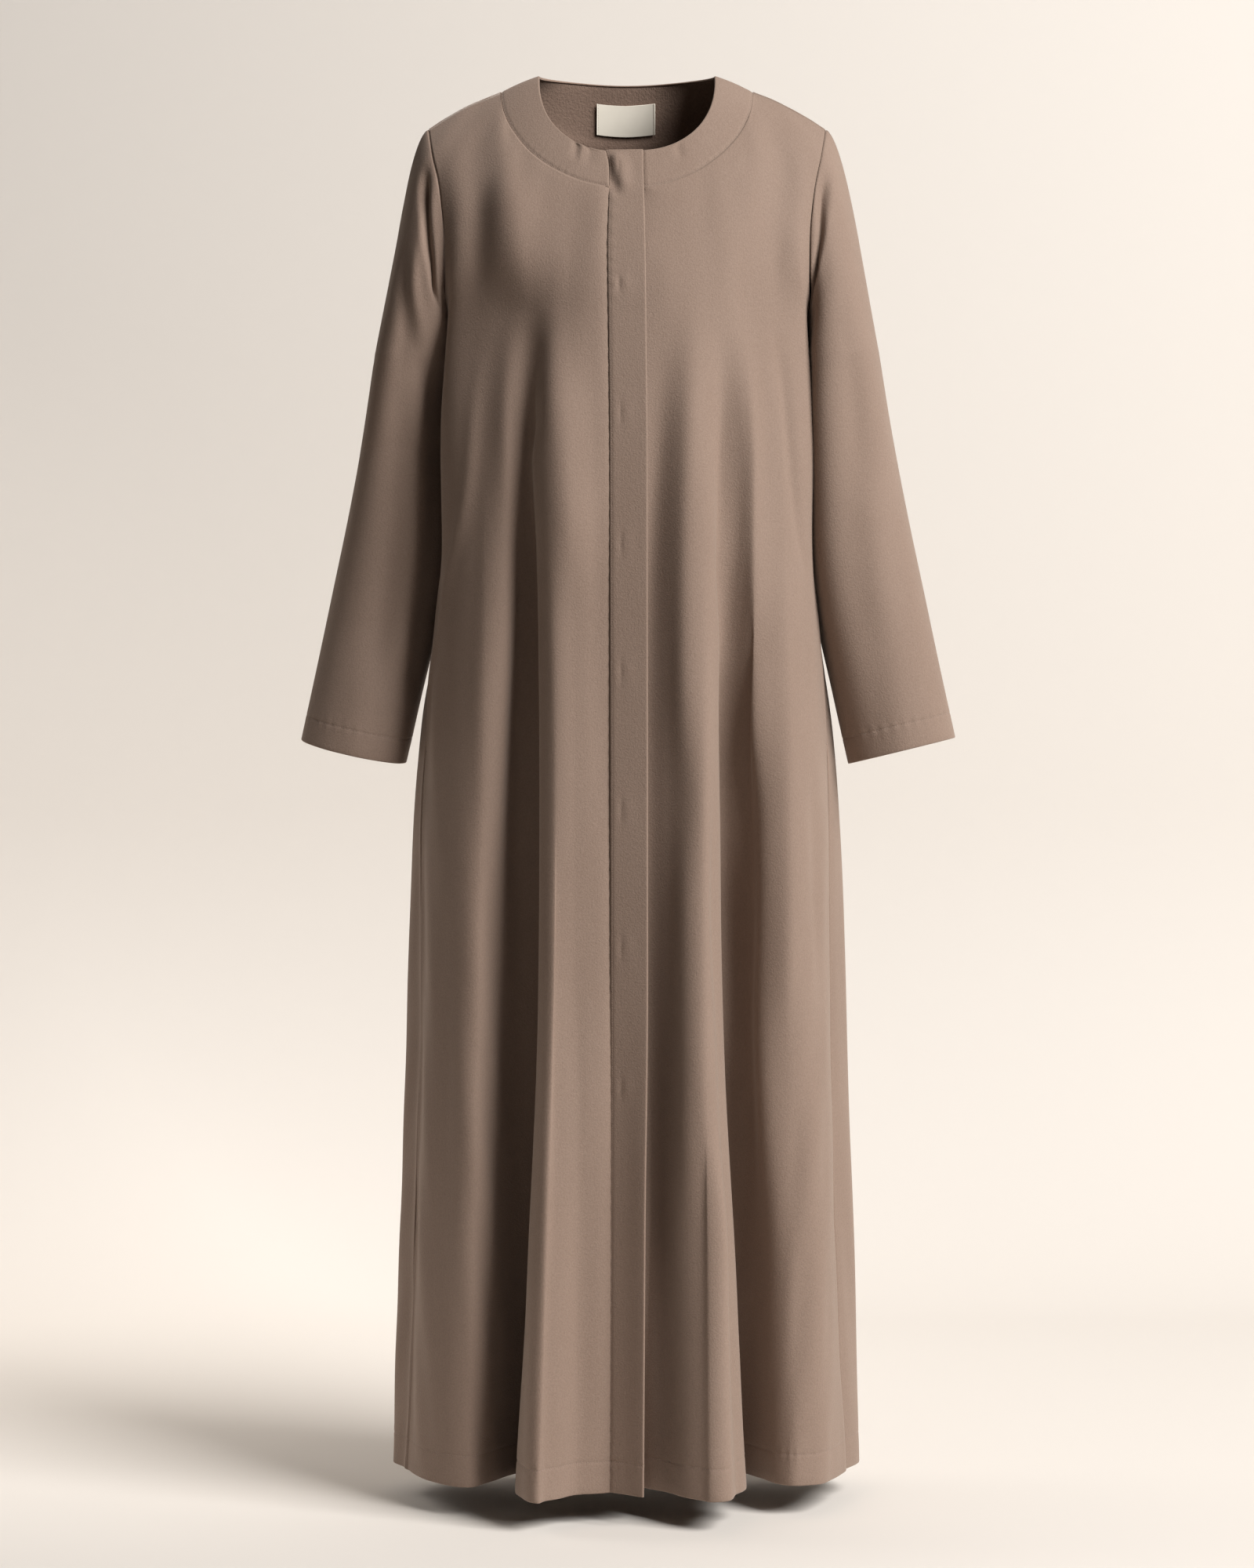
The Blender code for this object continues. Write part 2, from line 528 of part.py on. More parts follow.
def adopt(item, name, colour):
    """Give an object made from a primitive its name, its material and its place in the collection."""
    item.name = item.data.name = name
    material = bpy.data.materials.new(name)
    material.use_nodes = True
    shader = material.node_tree.nodes["Principled BSDF"]
    shader.inputs["Base Color"].default_value = (*colour, 1.0)
    shader.inputs["Roughness"].default_value = 0.35
    item.data.materials.append(material)
    for holder in list(item.users_collection):
        holder.objects.unlink(item)
    bpy.data.collections["abaya_cloak"].objects.link(item)


def make_neck_inside(grids, normals):
    """The facing inside the back neck, and the label sewn onto it."""
    face = grids["neck_band_back"] - normals["neck_band_back"] * (CLOTH + SEAM_GAP)
    for edge in ("first_column", "last_column", "top", "bottom"):
        draw_in(face, edge, 0.8)
    wall("neck_facing", face, normals["neck_band_back"], 1.0, FACING_TAUPE, False)
    width, height, thick = LABEL_SIZE
    rows = []
    for step in np.linspace(0.25, 0.25 + height / 60.0, 3):
        row = []
        for x in np.linspace(-width / 2, width / 2, 7):
            turn = math.degrees(math.acos(abs(x) / (NECK_HALF_WIDTH * (1 - step) + BAND_HALF_WIDTH * step)))
            side = -1 if x < 0 else 1
            point = neck_back(turn, side) * (1 - step) + band_back(turn, side) * step
            point[0] = x
            row.append(point)
        rows.append(row)
    label = np.array(rows)
    direction = outward(label, False)
    wall("neck_label", label - direction * (CLOTH + 1.0 + 3.4 * SEAM_GAP), direction, thick, IVORY, False)


def make_pockets(grids, normals):
    """Flat bags of two layers, hung from the side seams inside the fronts."""
    for name, grid_name, table in (("pocket_bag_right", "front_right", RIGHT_FRONT),
                                   ("pocket_bag_left", "front_left", LEFT_FRONT)):
        grid, direction = grids[grid_name], normals[grid_name]
        columns = sum(row[1] for row in table[-3:]) + 1
        rows = np.flatnonzero((grid[:, -1, 2] < POCKET_TOP) & (grid[:, -1, 2] > POCKET_BOTTOM))
        patch = grid[rows][:, -columns:] - direction[rows][:, -columns:] * (CLOTH + 0.4)
        draw_in(patch, "last_column", 2.0)
        wall(name, patch, direction[rows][:, -columns:], 2.6, FACING_TAUPE, grid_name == "front_left")


def main():
    for item in list(bpy.data.objects):
        bpy.data.objects.remove(item, do_unlink=True)
    collection = bpy.data.collections.new("abaya_cloak")
    bpy.context.scene.collection.children.link(collection)
    grids, normals = make_cloth()
    make_button_band(grids)
    make_neck_inside(grids, normals)
    make_pockets(grids, normals)


main()
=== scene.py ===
import math

import bpy
import numpy as np
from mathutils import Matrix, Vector


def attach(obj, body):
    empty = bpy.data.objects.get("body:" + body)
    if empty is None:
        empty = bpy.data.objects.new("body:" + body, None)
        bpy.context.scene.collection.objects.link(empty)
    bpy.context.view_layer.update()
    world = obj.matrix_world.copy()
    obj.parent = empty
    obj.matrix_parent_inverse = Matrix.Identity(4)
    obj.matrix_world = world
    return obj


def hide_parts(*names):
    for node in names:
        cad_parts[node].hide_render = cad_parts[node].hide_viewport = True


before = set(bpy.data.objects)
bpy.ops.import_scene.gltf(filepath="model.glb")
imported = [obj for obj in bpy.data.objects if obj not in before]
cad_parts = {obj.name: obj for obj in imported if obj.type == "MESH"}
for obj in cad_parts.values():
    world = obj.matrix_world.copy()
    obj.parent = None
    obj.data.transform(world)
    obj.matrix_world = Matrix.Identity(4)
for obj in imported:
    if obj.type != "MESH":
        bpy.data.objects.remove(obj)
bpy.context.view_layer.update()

# Body of the cloak: all lengths in millimetres until a mesh is made; powers and leans have no unit.
cut = {
    "length": 1420.0, "underarm": -255.0, "cloth": 1.5,
    "neckHalf": 89.6, "neckFrontDrop": 89.5, "neckFrontReach": 70.0, "neckFrontPower": 2.35,
    "neckFrontLean": 0.82, "neckBackReach": 63.0, "neckBackRise": 1.4, "neckSideRise": 5.0,
    "bandHalf": 128.8, "bandShoulderDrop": 16.8, "bandFrontDrop": 113.3, "bandFrontReach": 90.0,
    "bandFrontPower": 1.9, "bandFrontLean": 0.86, "bandBackDrop": 41.8, "bandBackReach": 82.5,
    "bandBackPower": 0.95, "bandBackFall": 1.6, "bandRoll": 1.2, "shoulderRound": 3.2,
    "closeHalf": 18.3, "underlapSink": 5.0, "underlapPast": 15.0, "underlapEnd": 12.0, "underlapEase": 0.4,
    "drawnIn": 5.0, "drawnReach": 9.0,
    "slitTop": -516.0, "slitBottom": -687.0, "hemDeep": 30.0, "cuffDeep": 25.0,
}
# How finely the grids are divided: columns to each face of the line tables, rows above and below the
# underarm, rows of a sleeve's cap and tube, columns of the underlap, and the faces of the line tables
# over which a front's and the back's columns pass into the armhole's curve.
fine = {"across": 5, "upper": 60, "lower": 150, "cap": 44, "tube": 110, "underlap": 8,
        "frontArmhole": 5, "backArmhole": 7}
shoulderTip = (203.0, 0.0, -55.0)
underarmPoint = (180.0, 0.0, cut["underarm"])
levels = np.array((cut["underarm"], -340.0, -500.0, -720.0, -1000.0, -1220.0, -cut["length"]))

# Lines down each panel: name, faces to the next line, place on the top edge (degrees round the
# neck band's seam, or minus the share of the shoulder seam), (sideways, forward) at each level.
rightFront = (
    ("band edge", 1, 81.0,
     ((18.5, 121), (18.5, 126), (18.5, 124), (18.5, 121), (18.5, 120), (18.5, 120), (18.5, 121))),
    ("flat", 3, 66.0, ((50, 118), (50, 123), (50, 124), (50, 124), (50, 125), (49, 126), (49, 128))),
    ("fold crest", 3, 48.0, ((80, 108), (80, 115), (76, 121), (72, 128), (74, 144), (79, 163), (83, 182))),
    ("fold edge", 3, 34.0, ((92, 102), (92, 108), (87, 110), (84, 112), (88, 118), (98, 126), (108, 135))),
    ("hollow", 2, 17.0, ((101, 97), (100, 97), (93, 76), (88, 54), (87, 34), (91, 18), (97, 8))),
    ("hollow floor", 4, 0.0, ((112, 90), (111, 92), (107, 76), (105, 52), (104, 38), (107, 30), (113, 28))),
    ("side crest", 3, -0.30, ((140, 74), (142, 82), (142, 84), (146, 86), (152, 92), (156, 94), (159, 96))),
    ("side face", 2, -0.66, ((181, 44), (187, 46), (184, 46), (194, 44), (202, 44), (208, 42), (213, 38))),
    ("side seam", 0, -1.0, ((180, 0), (184, 0), (190, 12), (206.5, 8), (209.5, 4), (214, 3), (221, 2))),
)
leftFront = (
    ("beside band", 2, 81.0, ((20, 116), (20, 120), (20, 117), (20, 111), (20, 105), (20, 101), (20, 97))),
    ("near valley", 2, 66.0, ((48, 115), (47, 119), (43, 117), (40, 113), (40, 114), (41, 119), (42, 124))),
    ("fold crest", 3, 50.0, ((78, 108), (78, 113), (80, 118), (80, 124), (78, 140), (78, 154), (78, 168))),
    ("fold edge", 3, 34.0, ((98, 99), (97, 104), (92, 108), (88, 110), (95, 122), (105, 128), (115, 131))),
    ("hollow", 2, 17.0, ((111, 91), (112, 92), (109, 82), (106, 66), (98, 40), (101, 24), (107, 12))),
    ("hollow rise", 4, 0.0, ((124, 83), (127, 82), (122, 76), (122, 60), (116, 46), (118, 36), (122, 30))),
    ("side crest", 3, -0.34, ((146, 70), (150, 76), (157, 76), (163, 82), (163, 94), (164, 98), (166, 101))),
    ("side face", 2, -0.68, ((181, 44), (187, 46), (184, 46), (193, 48), (199, 54), (202, 58), (205, 60))),
    ("side seam", 0, -1.0, ((180, 0), (184, 0), (190, 12), (206, 8), (209.5, 4), (216, 4), (225, 6))),
)
# Half of the back, side seam to centre; the last column is the shift at the hem of the twin at the
# wearer's left.
backHalf = (
    ("flank", 3, -0.90,
     ((184, 28), (188, 30), (197, 34), (217, 32), (228, 34), (235, 34), (240.5, 32)), (-1, 4)),
    ("side crest", 2, -0.66,
     ((174, 62), (175, 68), (178, 73), (188, 82), (198, 86), (206, 88), (214, 92)), (-4, 6)),
    ("outer crest", 3, -0.34,
     ((140, 84), (142, 90), (144, 97), (150, 107), (158, 114), (163, 120), (167, 126)), (-8, -8)),
    ("valley", 3, 0.0,
     ((110, 97), (110, 101), (109, 96), (109, 86), (110, 76), (110, 68), (110, 62)), (-10, 14)),
    ("fold edge", 2, 22.0,
     ((88, 102), (88, 107), (91, 112), (95, 117), (100, 120), (107, 124), (115, 130)), (-12, -4)),
    ("fold crest", 3, 44.0,
     ((64, 104), (65, 109), (68, 117), (72, 129), (76, 142), (80, 153), (84, 164)), (-10, -10)),
    ("inner slope", 2, 68.0,
     ((33, 105), (33, 110), (34, 112), (36, 115), (38, 119), (38, 123), (38, 127)), (-6, -4)),
    ("centre", 0, 90.0,
     ((0, 105), (0, 110), (0, 108), (0, 104), (0, 100), (0, 98), (0, 98)), (0, 0)),
)
armholeFront = (shoulderTip, (197.5, -25, -84), (190.5, -41, -116), (185, -50, -160),
                (184, -50, -204), (184, -38, -235), (182.5, -18, -251), underarmPoint)
armholeBack = (shoulderTip, (197.5, 27, -84), (191, 45, -118), (186, 56, -162),
               (185, 57, -206), (185, 44, -237), (183, 21, -251), underarmPoint)
# Sleeve rings: outer and inner line (sideways, up), half depth and setback.
sleeveRings = (
    ("upper arm", (257.5, -283), (180.0, -300), 68, 6),
    ("biceps", (272.0, -366), (178.5, -386), 66, 14),
    ("elbow", (288.5, -449), (180.5, -470), 62, 19),
    ("forearm", (306.0, -530), (194.0, -553), 58, 22),
    ("wrist", (321.5, -603), (210.5, -627), 54, 22),
    ("cuff", (337.0, -674), (227.0, -701), 49, 19),
)


# Point at share u of the cubic from start, along leave, to end, along arrive.
def hermite(start, end, leave, arrive, u):
    u2, u3 = u * u, u * u * u
    return ((2 * u3 - 3 * u2 + 1) * start + (u3 - 2 * u2 + u) * leave
            + (3 * u2 - 2 * u3) * end + (u3 - u2) * arrive)


# Smooth step: 3t^2 - 2t^3 of t kept between 0 and 1.
def ease(t):
    t = np.clip(t, 0, 1)
    return t * t * (3 - 2 * t)


# Smooth curve through the points (..., K, D), with steps[k] faces between point k and k + 1: cubics
# whose slope at a point is the mean of the chords beside it, the shorter one counting more.
def through(points, steps):
    points = np.asarray(points, float)
    chord = np.diff(points, axis=-2)
    length = np.linalg.norm(chord, axis=-1, keepdims=True) + 1e-9
    lean = chord / length
    before, after = length[..., :-1, :], length[..., 1:, :]
    inner = (after * lean[..., :-1, :] + before * lean[..., 1:, :]) / (before + after)
    tangent = np.concatenate((lean[..., :1, :], inner, lean[..., -1:, :]), axis=-2)
    out = []
    for k, count in enumerate(steps):
        for u in np.arange(count) / count:
            out.append(hermite(points[..., k, :], points[..., k + 1, :],
                               tangent[..., k, :] * length[..., k, :],
                               tangent[..., k + 1, :] * length[..., k, :], u))
    out.append(points[..., -1, :])
    return np.stack(out, axis=-2)


# Values given at the rising stations (first axis), read at a place along cubics with mean slopes.
def atLevel(values, place, stations):
    values = np.asarray(values, float)
    slope = np.gradient(values, stations, axis=0)
    k = int(np.clip(np.searchsorted(stations, place) - 1, 0, len(stations) - 2))
    span = stations[k + 1] - stations[k]
    return hermite(values[k], values[k + 1], slope[k] * span, slope[k + 1] * span,
                   (place - stations[k]) / span)


# Distance run along the first axis, from 0: the summed steps of one line, or of many side by side.
def runDown(points):
    run = np.cumsum(np.linalg.norm(np.diff(points, axis=0), axis=-1), axis=0)
    return np.concatenate((np.zeros_like(run[:1]), run))


# Rows eased, by a share from 0 to 1, towards the mean of each row and its two neighbours.
def evened(rows, share=1.0):
    middle = 0.25 * rows[:-2] + 0.5 * rows[1:-1] + 0.25 * rows[2:]
    return np.concatenate((rows[:1], rows[1:-1] * (1 - share) + middle * share, rows[-1:]))


# Points at the given shares of the length of the smooth curve through the points.
def along(points, shares):
    smooth = through(points, [24] * (len(points) - 1))
    run = runDown(smooth)
    return np.stack([np.interp(np.asarray(shares) * run[-1], run, smooth[:, i]) for i in range(3)], axis=1)


# The top-edge place of each fine column, evenly spaced between the table's lines.
def spread(table):
    out = []
    for row, following in zip(table, table[1:]):
        count = row[1] * fine["across"]
        out += [row[2] + (following[2] - row[2]) * i / count for i in range(count)]
    return np.array(out + [table[-1][2]])


# Cosine and sine of a turn in degrees.
def turnParts(turn):
    return np.cos(np.radians(turn)), np.sin(np.radians(turn))


# Front neck edge: a superellipse that comes forward as it falls.
def neckFront(turn, side):
    c, s = turnParts(turn)
    out, fall = c ** (2 / cut["neckFrontPower"]), s ** (2 / cut["neckFrontPower"])
    return np.array((side * cut["neckHalf"] * out, -cut["neckFrontReach"] * fall ** cut["neckFrontLean"],
                     -cut["neckFrontDrop"] * fall))


# Back neck edge: an ellipse seen from above, a little raised at the sides of the neck.
def neckBack(turn, side):
    c, s = turnParts(turn)
    return np.array((side * cut["neckHalf"] * c, cut["neckBackReach"] * s,
                     cut["neckBackRise"] * s + cut["neckSideRise"] * s * c))


# Front seam of the neck band: a superellipse that comes forward as it falls.
def bandFront(turn, side):
    c, s = turnParts(turn)
    out, fall = c ** (2 / cut["bandFrontPower"]), s ** (2 / cut["bandFrontPower"])
    return np.array((side * cut["bandHalf"] * out, -cut["bandFrontReach"] * fall ** cut["bandFrontLean"],
                     -cut["bandShoulderDrop"] - cut["bandFrontDrop"] * fall))


# Back seam of the neck band: nearly an ellipse from above, falling towards the centre back.
def bandBack(turn, side):
    c, s = turnParts(turn)
    out, back = c ** cut["bandBackPower"], s ** cut["bandBackPower"]
    return np.array((side * cut["bandHalf"] * out, cut["bandBackReach"] * back,
                     -cut["bandShoulderDrop"] - cut["bandBackDrop"] * s ** cut["bandBackFall"]))


# Top edge of a panel: the band's seam where place is positive, else the rounded shoulder seam.
def topPoint(place, side, seam):
    if place >= 0:
        return seam(place, side)
    start = seam(0.0, side)
    point = start + (np.array((side, 1, 1)) * shoulderTip - start) * -place
    point[2] += cut["shoulderRound"] * math.sin(math.pi * -place)
    return point


# The sleeve's cap: each cubic leaves the armhole outward and down, turned steeper and shorter towards
# the underarm, and arrives nearly straight down with a pull in proportion to the gap.
capLook = {"out": 0.85, "lowOut": -0.35, "forward": -0.16, "down": -0.5, "lowDown": -0.4, "reach": 72.0,
           "lowReach": -50.0, "arrive": (0.19, 0, -0.98), "pull": 0.95}


# Left sleeve's outer face: cubics from the armhole to the first ring, then tilted ellipses.
def sleeveGrid(look):
    around = 2 * fine["upper"]
    shares = np.arange(fine["upper"] + 1) / fine["upper"]
    start = np.concatenate((along(armholeFront, shares), along(armholeBack, shares)[-2:0:-1]))
    turn = 2 * math.pi * np.arange(around) / around
    rings = np.array([ring[1] + ring[2] + (ring[3], ring[4]) for ring in sleeveRings], float)
    tube = []
    for i in range(fine["tube"] + 1):
        ring = atLevel(rings, i / fine["tube"] * (len(rings) - 1), np.arange(len(rings), dtype=float))
        centre = np.array((ring[0] + ring[2], 0, ring[1] + ring[3])) / 2
        reach = np.array((ring[0] - ring[2], 0, ring[1] - ring[3])) / 2
        tube.append(centre + np.outer(np.cos(turn), reach)
                    + np.outer(np.sin(turn), (0, -ring[4], 0)) + (0, ring[5], 0))
    low = ((1 - np.cos(turn)) / 2)[:, None] ** 2
    leave = np.column_stack((look["out"] + look["lowOut"] * low[:, 0], look["forward"] * np.sin(turn),
                             look["down"] + look["lowDown"] * low[:, 0]))
    leave = leave / np.linalg.norm(leave, axis=1, keepdims=True) * (look["reach"] + look["lowReach"] * low)
    gap = np.linalg.norm(tube[0] - start, axis=1, keepdims=True)
    arrive = np.array(look["arrive"]) * gap * look["pull"]
    cap = [hermite(start, tube[0], leave, arrive, i / fine["cap"]) for i in range(fine["cap"])]
    return np.stack(cap + tube)


# Room between sleeve and body, softness of the contact, and how far below the underarm it starts.
pressLook = {"clear": 3.6, "soft": 2.5, "settle": 30.0, "past": 12}


# A level section of the body gives way where the sleeve hangs against it: its sideways places are
# lessened by a softened ramp, soft * log(1 + e^(over / soft)), of how far they stand over the wall.
def press(points, z, sleeve, look):
    if z > cut["underarm"] - 1 or z < sleeveRings[-1][2][1] - look["past"]:
        return points
    count = sleeve.shape[1]
    turn = np.arange(count // 4, count - count // 4 + 1)
    places = np.array([[np.interp(-z, -sleeve[:, j, 2], sleeve[:, j, i]) for i in (0, 1)]
                       for j in turn if sleeve[0, j, 2] > z])
    places = places[np.argsort(places[:, 1])]
    wall = np.interp(points[:, 1], places[:, 1], places[:, 0], left=1e3, right=1e3) - look["clear"]
    over = np.clip((np.abs(points[:, 0]) - wall) / look["soft"], -30, 30)
    grown = min(1.0, (cut["underarm"] - z) / look["settle"])
    out = points.copy()
    out[:, 0] -= np.sign(points[:, 0]) * look["soft"] * np.log1p(np.exp(over)) * grown
    return out


# Level places of a table's lines at height z.
def linesAt(table, z, side, forward):
    places = np.array([row[3] for row in table], float)
    return atLevel(places.transpose(1, 0, 2), -z, -levels) * np.array((side, forward))


# Level places of the back's lines on one side; the left twin drifts away towards the hem.
def backLinesAt(z, side):
    level = linesAt(backHalf, z, side, 1.0)
    if side > 0:
        grow = (max(0.0, cut["underarm"] - z) / (cut["length"] + cut["underarm"])) ** 1.3
        level = level + np.array([row[4] for row in backHalf], float) * grow
    return level


# Level ring of the body: right front, back and left front as one smooth curve.
def bodyRing(z, sleeve):
    behind = np.concatenate((backLinesAt(z, -1), backLinesAt(z, 1)[::-1][1:]))
    chain = np.concatenate((linesAt(rightFront, z, -1, -1.0), behind, linesAt(leftFront, z, 1, -1.0)[::-1]))
    half = [row[1] for row in backHalf[:-1]]
    steps = ([row[1] for row in rightFront[:-1]] + [2] + half + half[::-1] + [2]
             + [row[1] for row in leftFront[:-1]][::-1])
    ring = press(through(chain, [count * fine["across"] for count in steps]), z, sleeve, pressLook)
    return np.column_stack((ring, np.full(len(ring), z)))


# Upper cloth: passes that smooth the corner of the neck seam away and the share of the height they
# take; share of the way out that a column goes evenly; power of its fall, and how much more towards
# the middle of the neck; power by which the ends of the columns are drawn to their seams; swelling
# beside the armhole, sideways and forward.
upperLook = {"passes": 420, "smoothBy": 0.4, "slope": 0.75, "bend": 1.75, "neckBend": 1.25, "neckTurn": 60.0,
             "pull": 4, "bulge": (2.0, 3.4)}


# Rows from the top edge to the underarm: each column rounds over the shoulder, then hangs. The
# corner where band and shoulder seams meet is smoothed away from the rows further down. Towards the
# armhole the columns pass over into its curve, by their share of the way.
def upperPanel(look, bottom, places, sideOf, seam, armholes):
    shares = np.arange(fine["upper"] + 1) / fine["upper"]
    top = np.array([topPoint(place, sideOf(j), seam) for j, place in enumerate(places)])
    softer = [top]
    for _ in range(look["passes"]):
        softer.append(evened(softer[-1]))
    passes = (look["passes"] * ease(shares / look["smoothBy"]) ** 2).astype(int)
    start = np.array([softer[k] for k in passes])
    s = shares[:, None]
    bend = look["bend"] + look["neckBend"] * np.clip((look["neckTurn"] - places) / look["neckTurn"], 0, 1)
    out = look["slope"] * s + (1 - look["slope"]) * s ** 2
    rows = np.stack((start[..., 0] + (bottom[:, 0] - start[..., 0]) * out,
                     start[..., 1] + (bottom[:, 1] - start[..., 1]) * (1 - (1 - s) ** bend),
                     start[..., 2] + (bottom[:, 2] - start[..., 2]) * s), axis=-1)
    for edge, crest, armhole, hand in armholes:
        hole = along(np.array(armhole) * np.array((hand, 1, 1)), shares)
        plain = rows[:, crest].copy()
        for j in range(min(edge, crest), max(edge, crest) + 1):
            part = (places[j] - places[crest]) / (places[edge] - places[crest])
            settle = bottom[j] - (plain[-1] * (1 - part) + hole[-1] * part)
            lift = rows[0, j] - (plain[0] * (1 - part) + hole[0] * part)
            bulge = math.sin(math.pi * part) * np.sin(math.pi * shares)
            rows[:, j] = plain * (1 - part) + hole * part
            rows[:, j] += settle * s ** look["pull"] + lift * (1 - s) ** look["pull"]
            rows[:, j, 0] += hand * look["bulge"][0] * bulge
            rows[:, j, 1] += np.sign(plain[-1, 1]) * look["bulge"][1] * bulge
    return rows


# Rows of a neck band, as shares of the way from the neck edge to the seam.
bandSteps = (0, 0.02, 0.06, 0.12, 0.2, 0.3, 0.42, 0.54, 0.66, 0.77, 0.86, 0.9, 0.93, 0.952, 0.968, 0.985, 1)


# A neck band's outer face, straight from the neck edge to the seam but for a slight roll.
def neckBand(places, sideOf, neck, seam):
    rows = []
    for step in bandSteps:
        row = np.array([neck(p, sideOf(j)) * (1 - step) + seam(p, sideOf(j)) * step
                        for j, p in enumerate(places)])
        row[:, 2] += cut["bandRoll"] * math.sin(math.pi * step)
        rows.append(row)
    return np.array(rows)


# The left front's side of the opening runs on beneath the closing band, whose face is given, and the
# first lines beyond it are drawn in towards the band.
def withUnderlap(grid, face):
    extra = np.repeat(grid[:, :1], fine["underlap"], axis=1)
    extra[:, :, 0] = np.linspace(-cut["underlapPast"], cut["underlapEnd"], fine["underlap"])
    extra[:, :, 1] = (face + cut["underlapSink"])[:, None]
    grid = grid.copy()
    grid[:, 0, 1] = np.maximum(grid[:, 0, 1], face + cut["underlapSink"] - cut["underlapEase"])
    side = grid[..., 0]
    side -= cut["drawnIn"] * np.exp(-((side - side[:, :1]) / cut["drawnReach"]) ** 2)
    return np.concatenate((extra, grid), axis=1)


# Outer faces of every big piece of cloth, sharing their seam lines.
def bodyGrids():
    sleeve = sleeveGrid(capLook)
    rows = np.linspace(cut["underarm"], -cut["length"], fine["lower"] + 1)
    ring = np.stack([bodyRing(z, sleeve) for z in rows])
    across = fine["across"]
    rightCount = across * sum(row[1] for row in rightFront)
    leftCount = across * sum(row[1] for row in leftFront)
    right, left = ring[:, :rightCount + 1], ring[:, ring.shape[1] - leftCount - 1:][:, ::-1]
    behind = ring[:, rightCount:ring.shape[1] - leftCount]
    half = np.concatenate((np.linspace(-1.0, -0.9, 2 * across, endpoint=False), spread(backHalf)))
    backPlaces = np.concatenate((half, half[::-1][1:]))
    middle, last = len(half) - 1, 2 * len(half) - 2
    into, backInto = across * fine["frontArmhole"], across * fine["backArmhole"]
    rightTop = upperPanel(upperLook, right[0], spread(rightFront), lambda j: -1, bandFront,
                          [(rightCount, rightCount - into, armholeFront, -1)])
    leftTop = upperPanel(upperLook, left[0], spread(leftFront), lambda j: 1, bandFront,
                         [(leftCount, leftCount - into, armholeFront, 1)])
    backTop = upperPanel(upperLook, behind[0], backPlaces, lambda j: -1 if j <= middle else 1, bandBack,
                         [(0, backInto, armholeBack, -1), (last, last - backInto, armholeBack, 1)])
    grids = {"frontRight": np.concatenate((rightTop, right[1:])),
             "frontLeft": np.concatenate((leftTop, left[1:])),
             "back": np.concatenate((backTop, behind[1:]))}
    arc = [j for j, place in enumerate(backPlaces) if place >= 0]
    for name, table, side in (("bandRight", rightFront, -1), ("bandLeft", leftFront, 1)):
        places = [place for place in spread(table) if place >= 0]
        grids[name] = neckBand(places, lambda j: side, neckFront, bandFront)
    grids["bandBack"] = neckBand([backPlaces[j] for j in arc], lambda j: -1 if arc[j] <= middle else 1,
                                 neckBack, bandBack)
    for name, beside in (("frontLeft", "frontRight"), ("bandLeft", "bandRight")):
        grids[name] = withUnderlap(grids[name], grids[beside][:, 0, 1])
    middleBack = (("middle back", ((0, -300), (0, 100)), (28, 28), 1, (0, 0)),)
    before = grids["bandBack"]
    share = ease(fromEdge(before, "bottom") / 25.0)[..., None]
    after = rounded(before, flatMeasure(before, before.shape[1] // 2), middleBack, 90)
    grids["bandBack"] = before * (1 - share) + after * share
    grids["sleeveLeft"] = sleeve
    grids["sleeveRight"] = sleeve * np.array((-1, 1, 1))
    for name in ("frontRight", "frontLeft", "back"):
        grids[name] = softened(softLook, grids[name])
    return grids, arc


# Softening about the underarm: reach up and down, passes, distance from a side edge over which it
# grows; and sideways above it: how far below it starts, the edge strip left alone, which narrows from
# the first to the second value between two heights, and the distance over which it grows.
softLook = {"reach": 40.0, "passes": 50, "grow": 45.0, "below": 90.0, "between": (40, 90), "strip": (52, 15),
            "sideGrow": 30.0}


# Rows about the underarm eased into one another, so the cloth bends there without a line, and columns
# above it eased sideways; the edges keep.
def softened(look, grid):
    edge = np.minimum(fromEdge(grid, "first"), fromEdge(grid, "last"))
    over = grid[..., 2] - cut["underarm"]
    upright = np.exp(-(over / look["reach"]) ** 2) * ease(edge / look["grow"])
    strip = np.interp(over, look["between"], look["strip"])
    sideways = ease((over + look["below"]) / look["below"]) * ease((edge - strip) / look["sideGrow"])
    sideways = sideways * ease(fromEdge(grid, "top") / look["sideGrow"])
    for _ in range(look["passes"]):
        grid = evened(grid, upright[1:-1, :, None])
        grid = evened(grid.swapaxes(0, 1), sideways.T[1:-1, :, None]).swapaxes(0, 1)
    return grid


# For a grid of rows by columns: whether its axes are swapped, and whether it is turned round, to
# bring each edge to the last row.
turned = {"bottom": (False, False), "top": (False, True), "last": (True, False), "first": (True, True)}


# The grid turned so that the named edge is its last row.
def toLast(grid, edge):
    swap, back = turned[edge]
    grid = grid.swapaxes(0, 1) if swap else grid
    return grid[::-1] if back else grid


# The grid turned back again.
def fromLast(grid, edge):
    swap, back = turned[edge]
    grid = grid[::-1] if back else grid
    return grid.swapaxes(0, 1) if swap else grid


# Distance of every point from the named edge, summed along its own row or column.
def fromEdge(grid, edge):
    return fromLast(runDown(toLast(grid, edge)[::-1])[::-1], edge)


# Extra lines let in at the given mean distances from an edge, straight between their neighbours.
def crowd(grid, edge, distances):
    lines = toLast(grid, edge)[::-1]
    mean = runDown(lines).mean(axis=1)
    index = np.interp(distances, mean, np.arange(len(mean)))
    place = np.sort(np.concatenate((np.arange(len(mean)), index)))
    place = place[np.concatenate(([True], np.diff(place) > 0.02))]
    low = np.minimum(place.astype(int), len(mean) - 2)
    share = (place - low)[:, None, None]
    return fromLast((lines[low] * (1 - share) + lines[low + 1] * share)[::-1], edge)


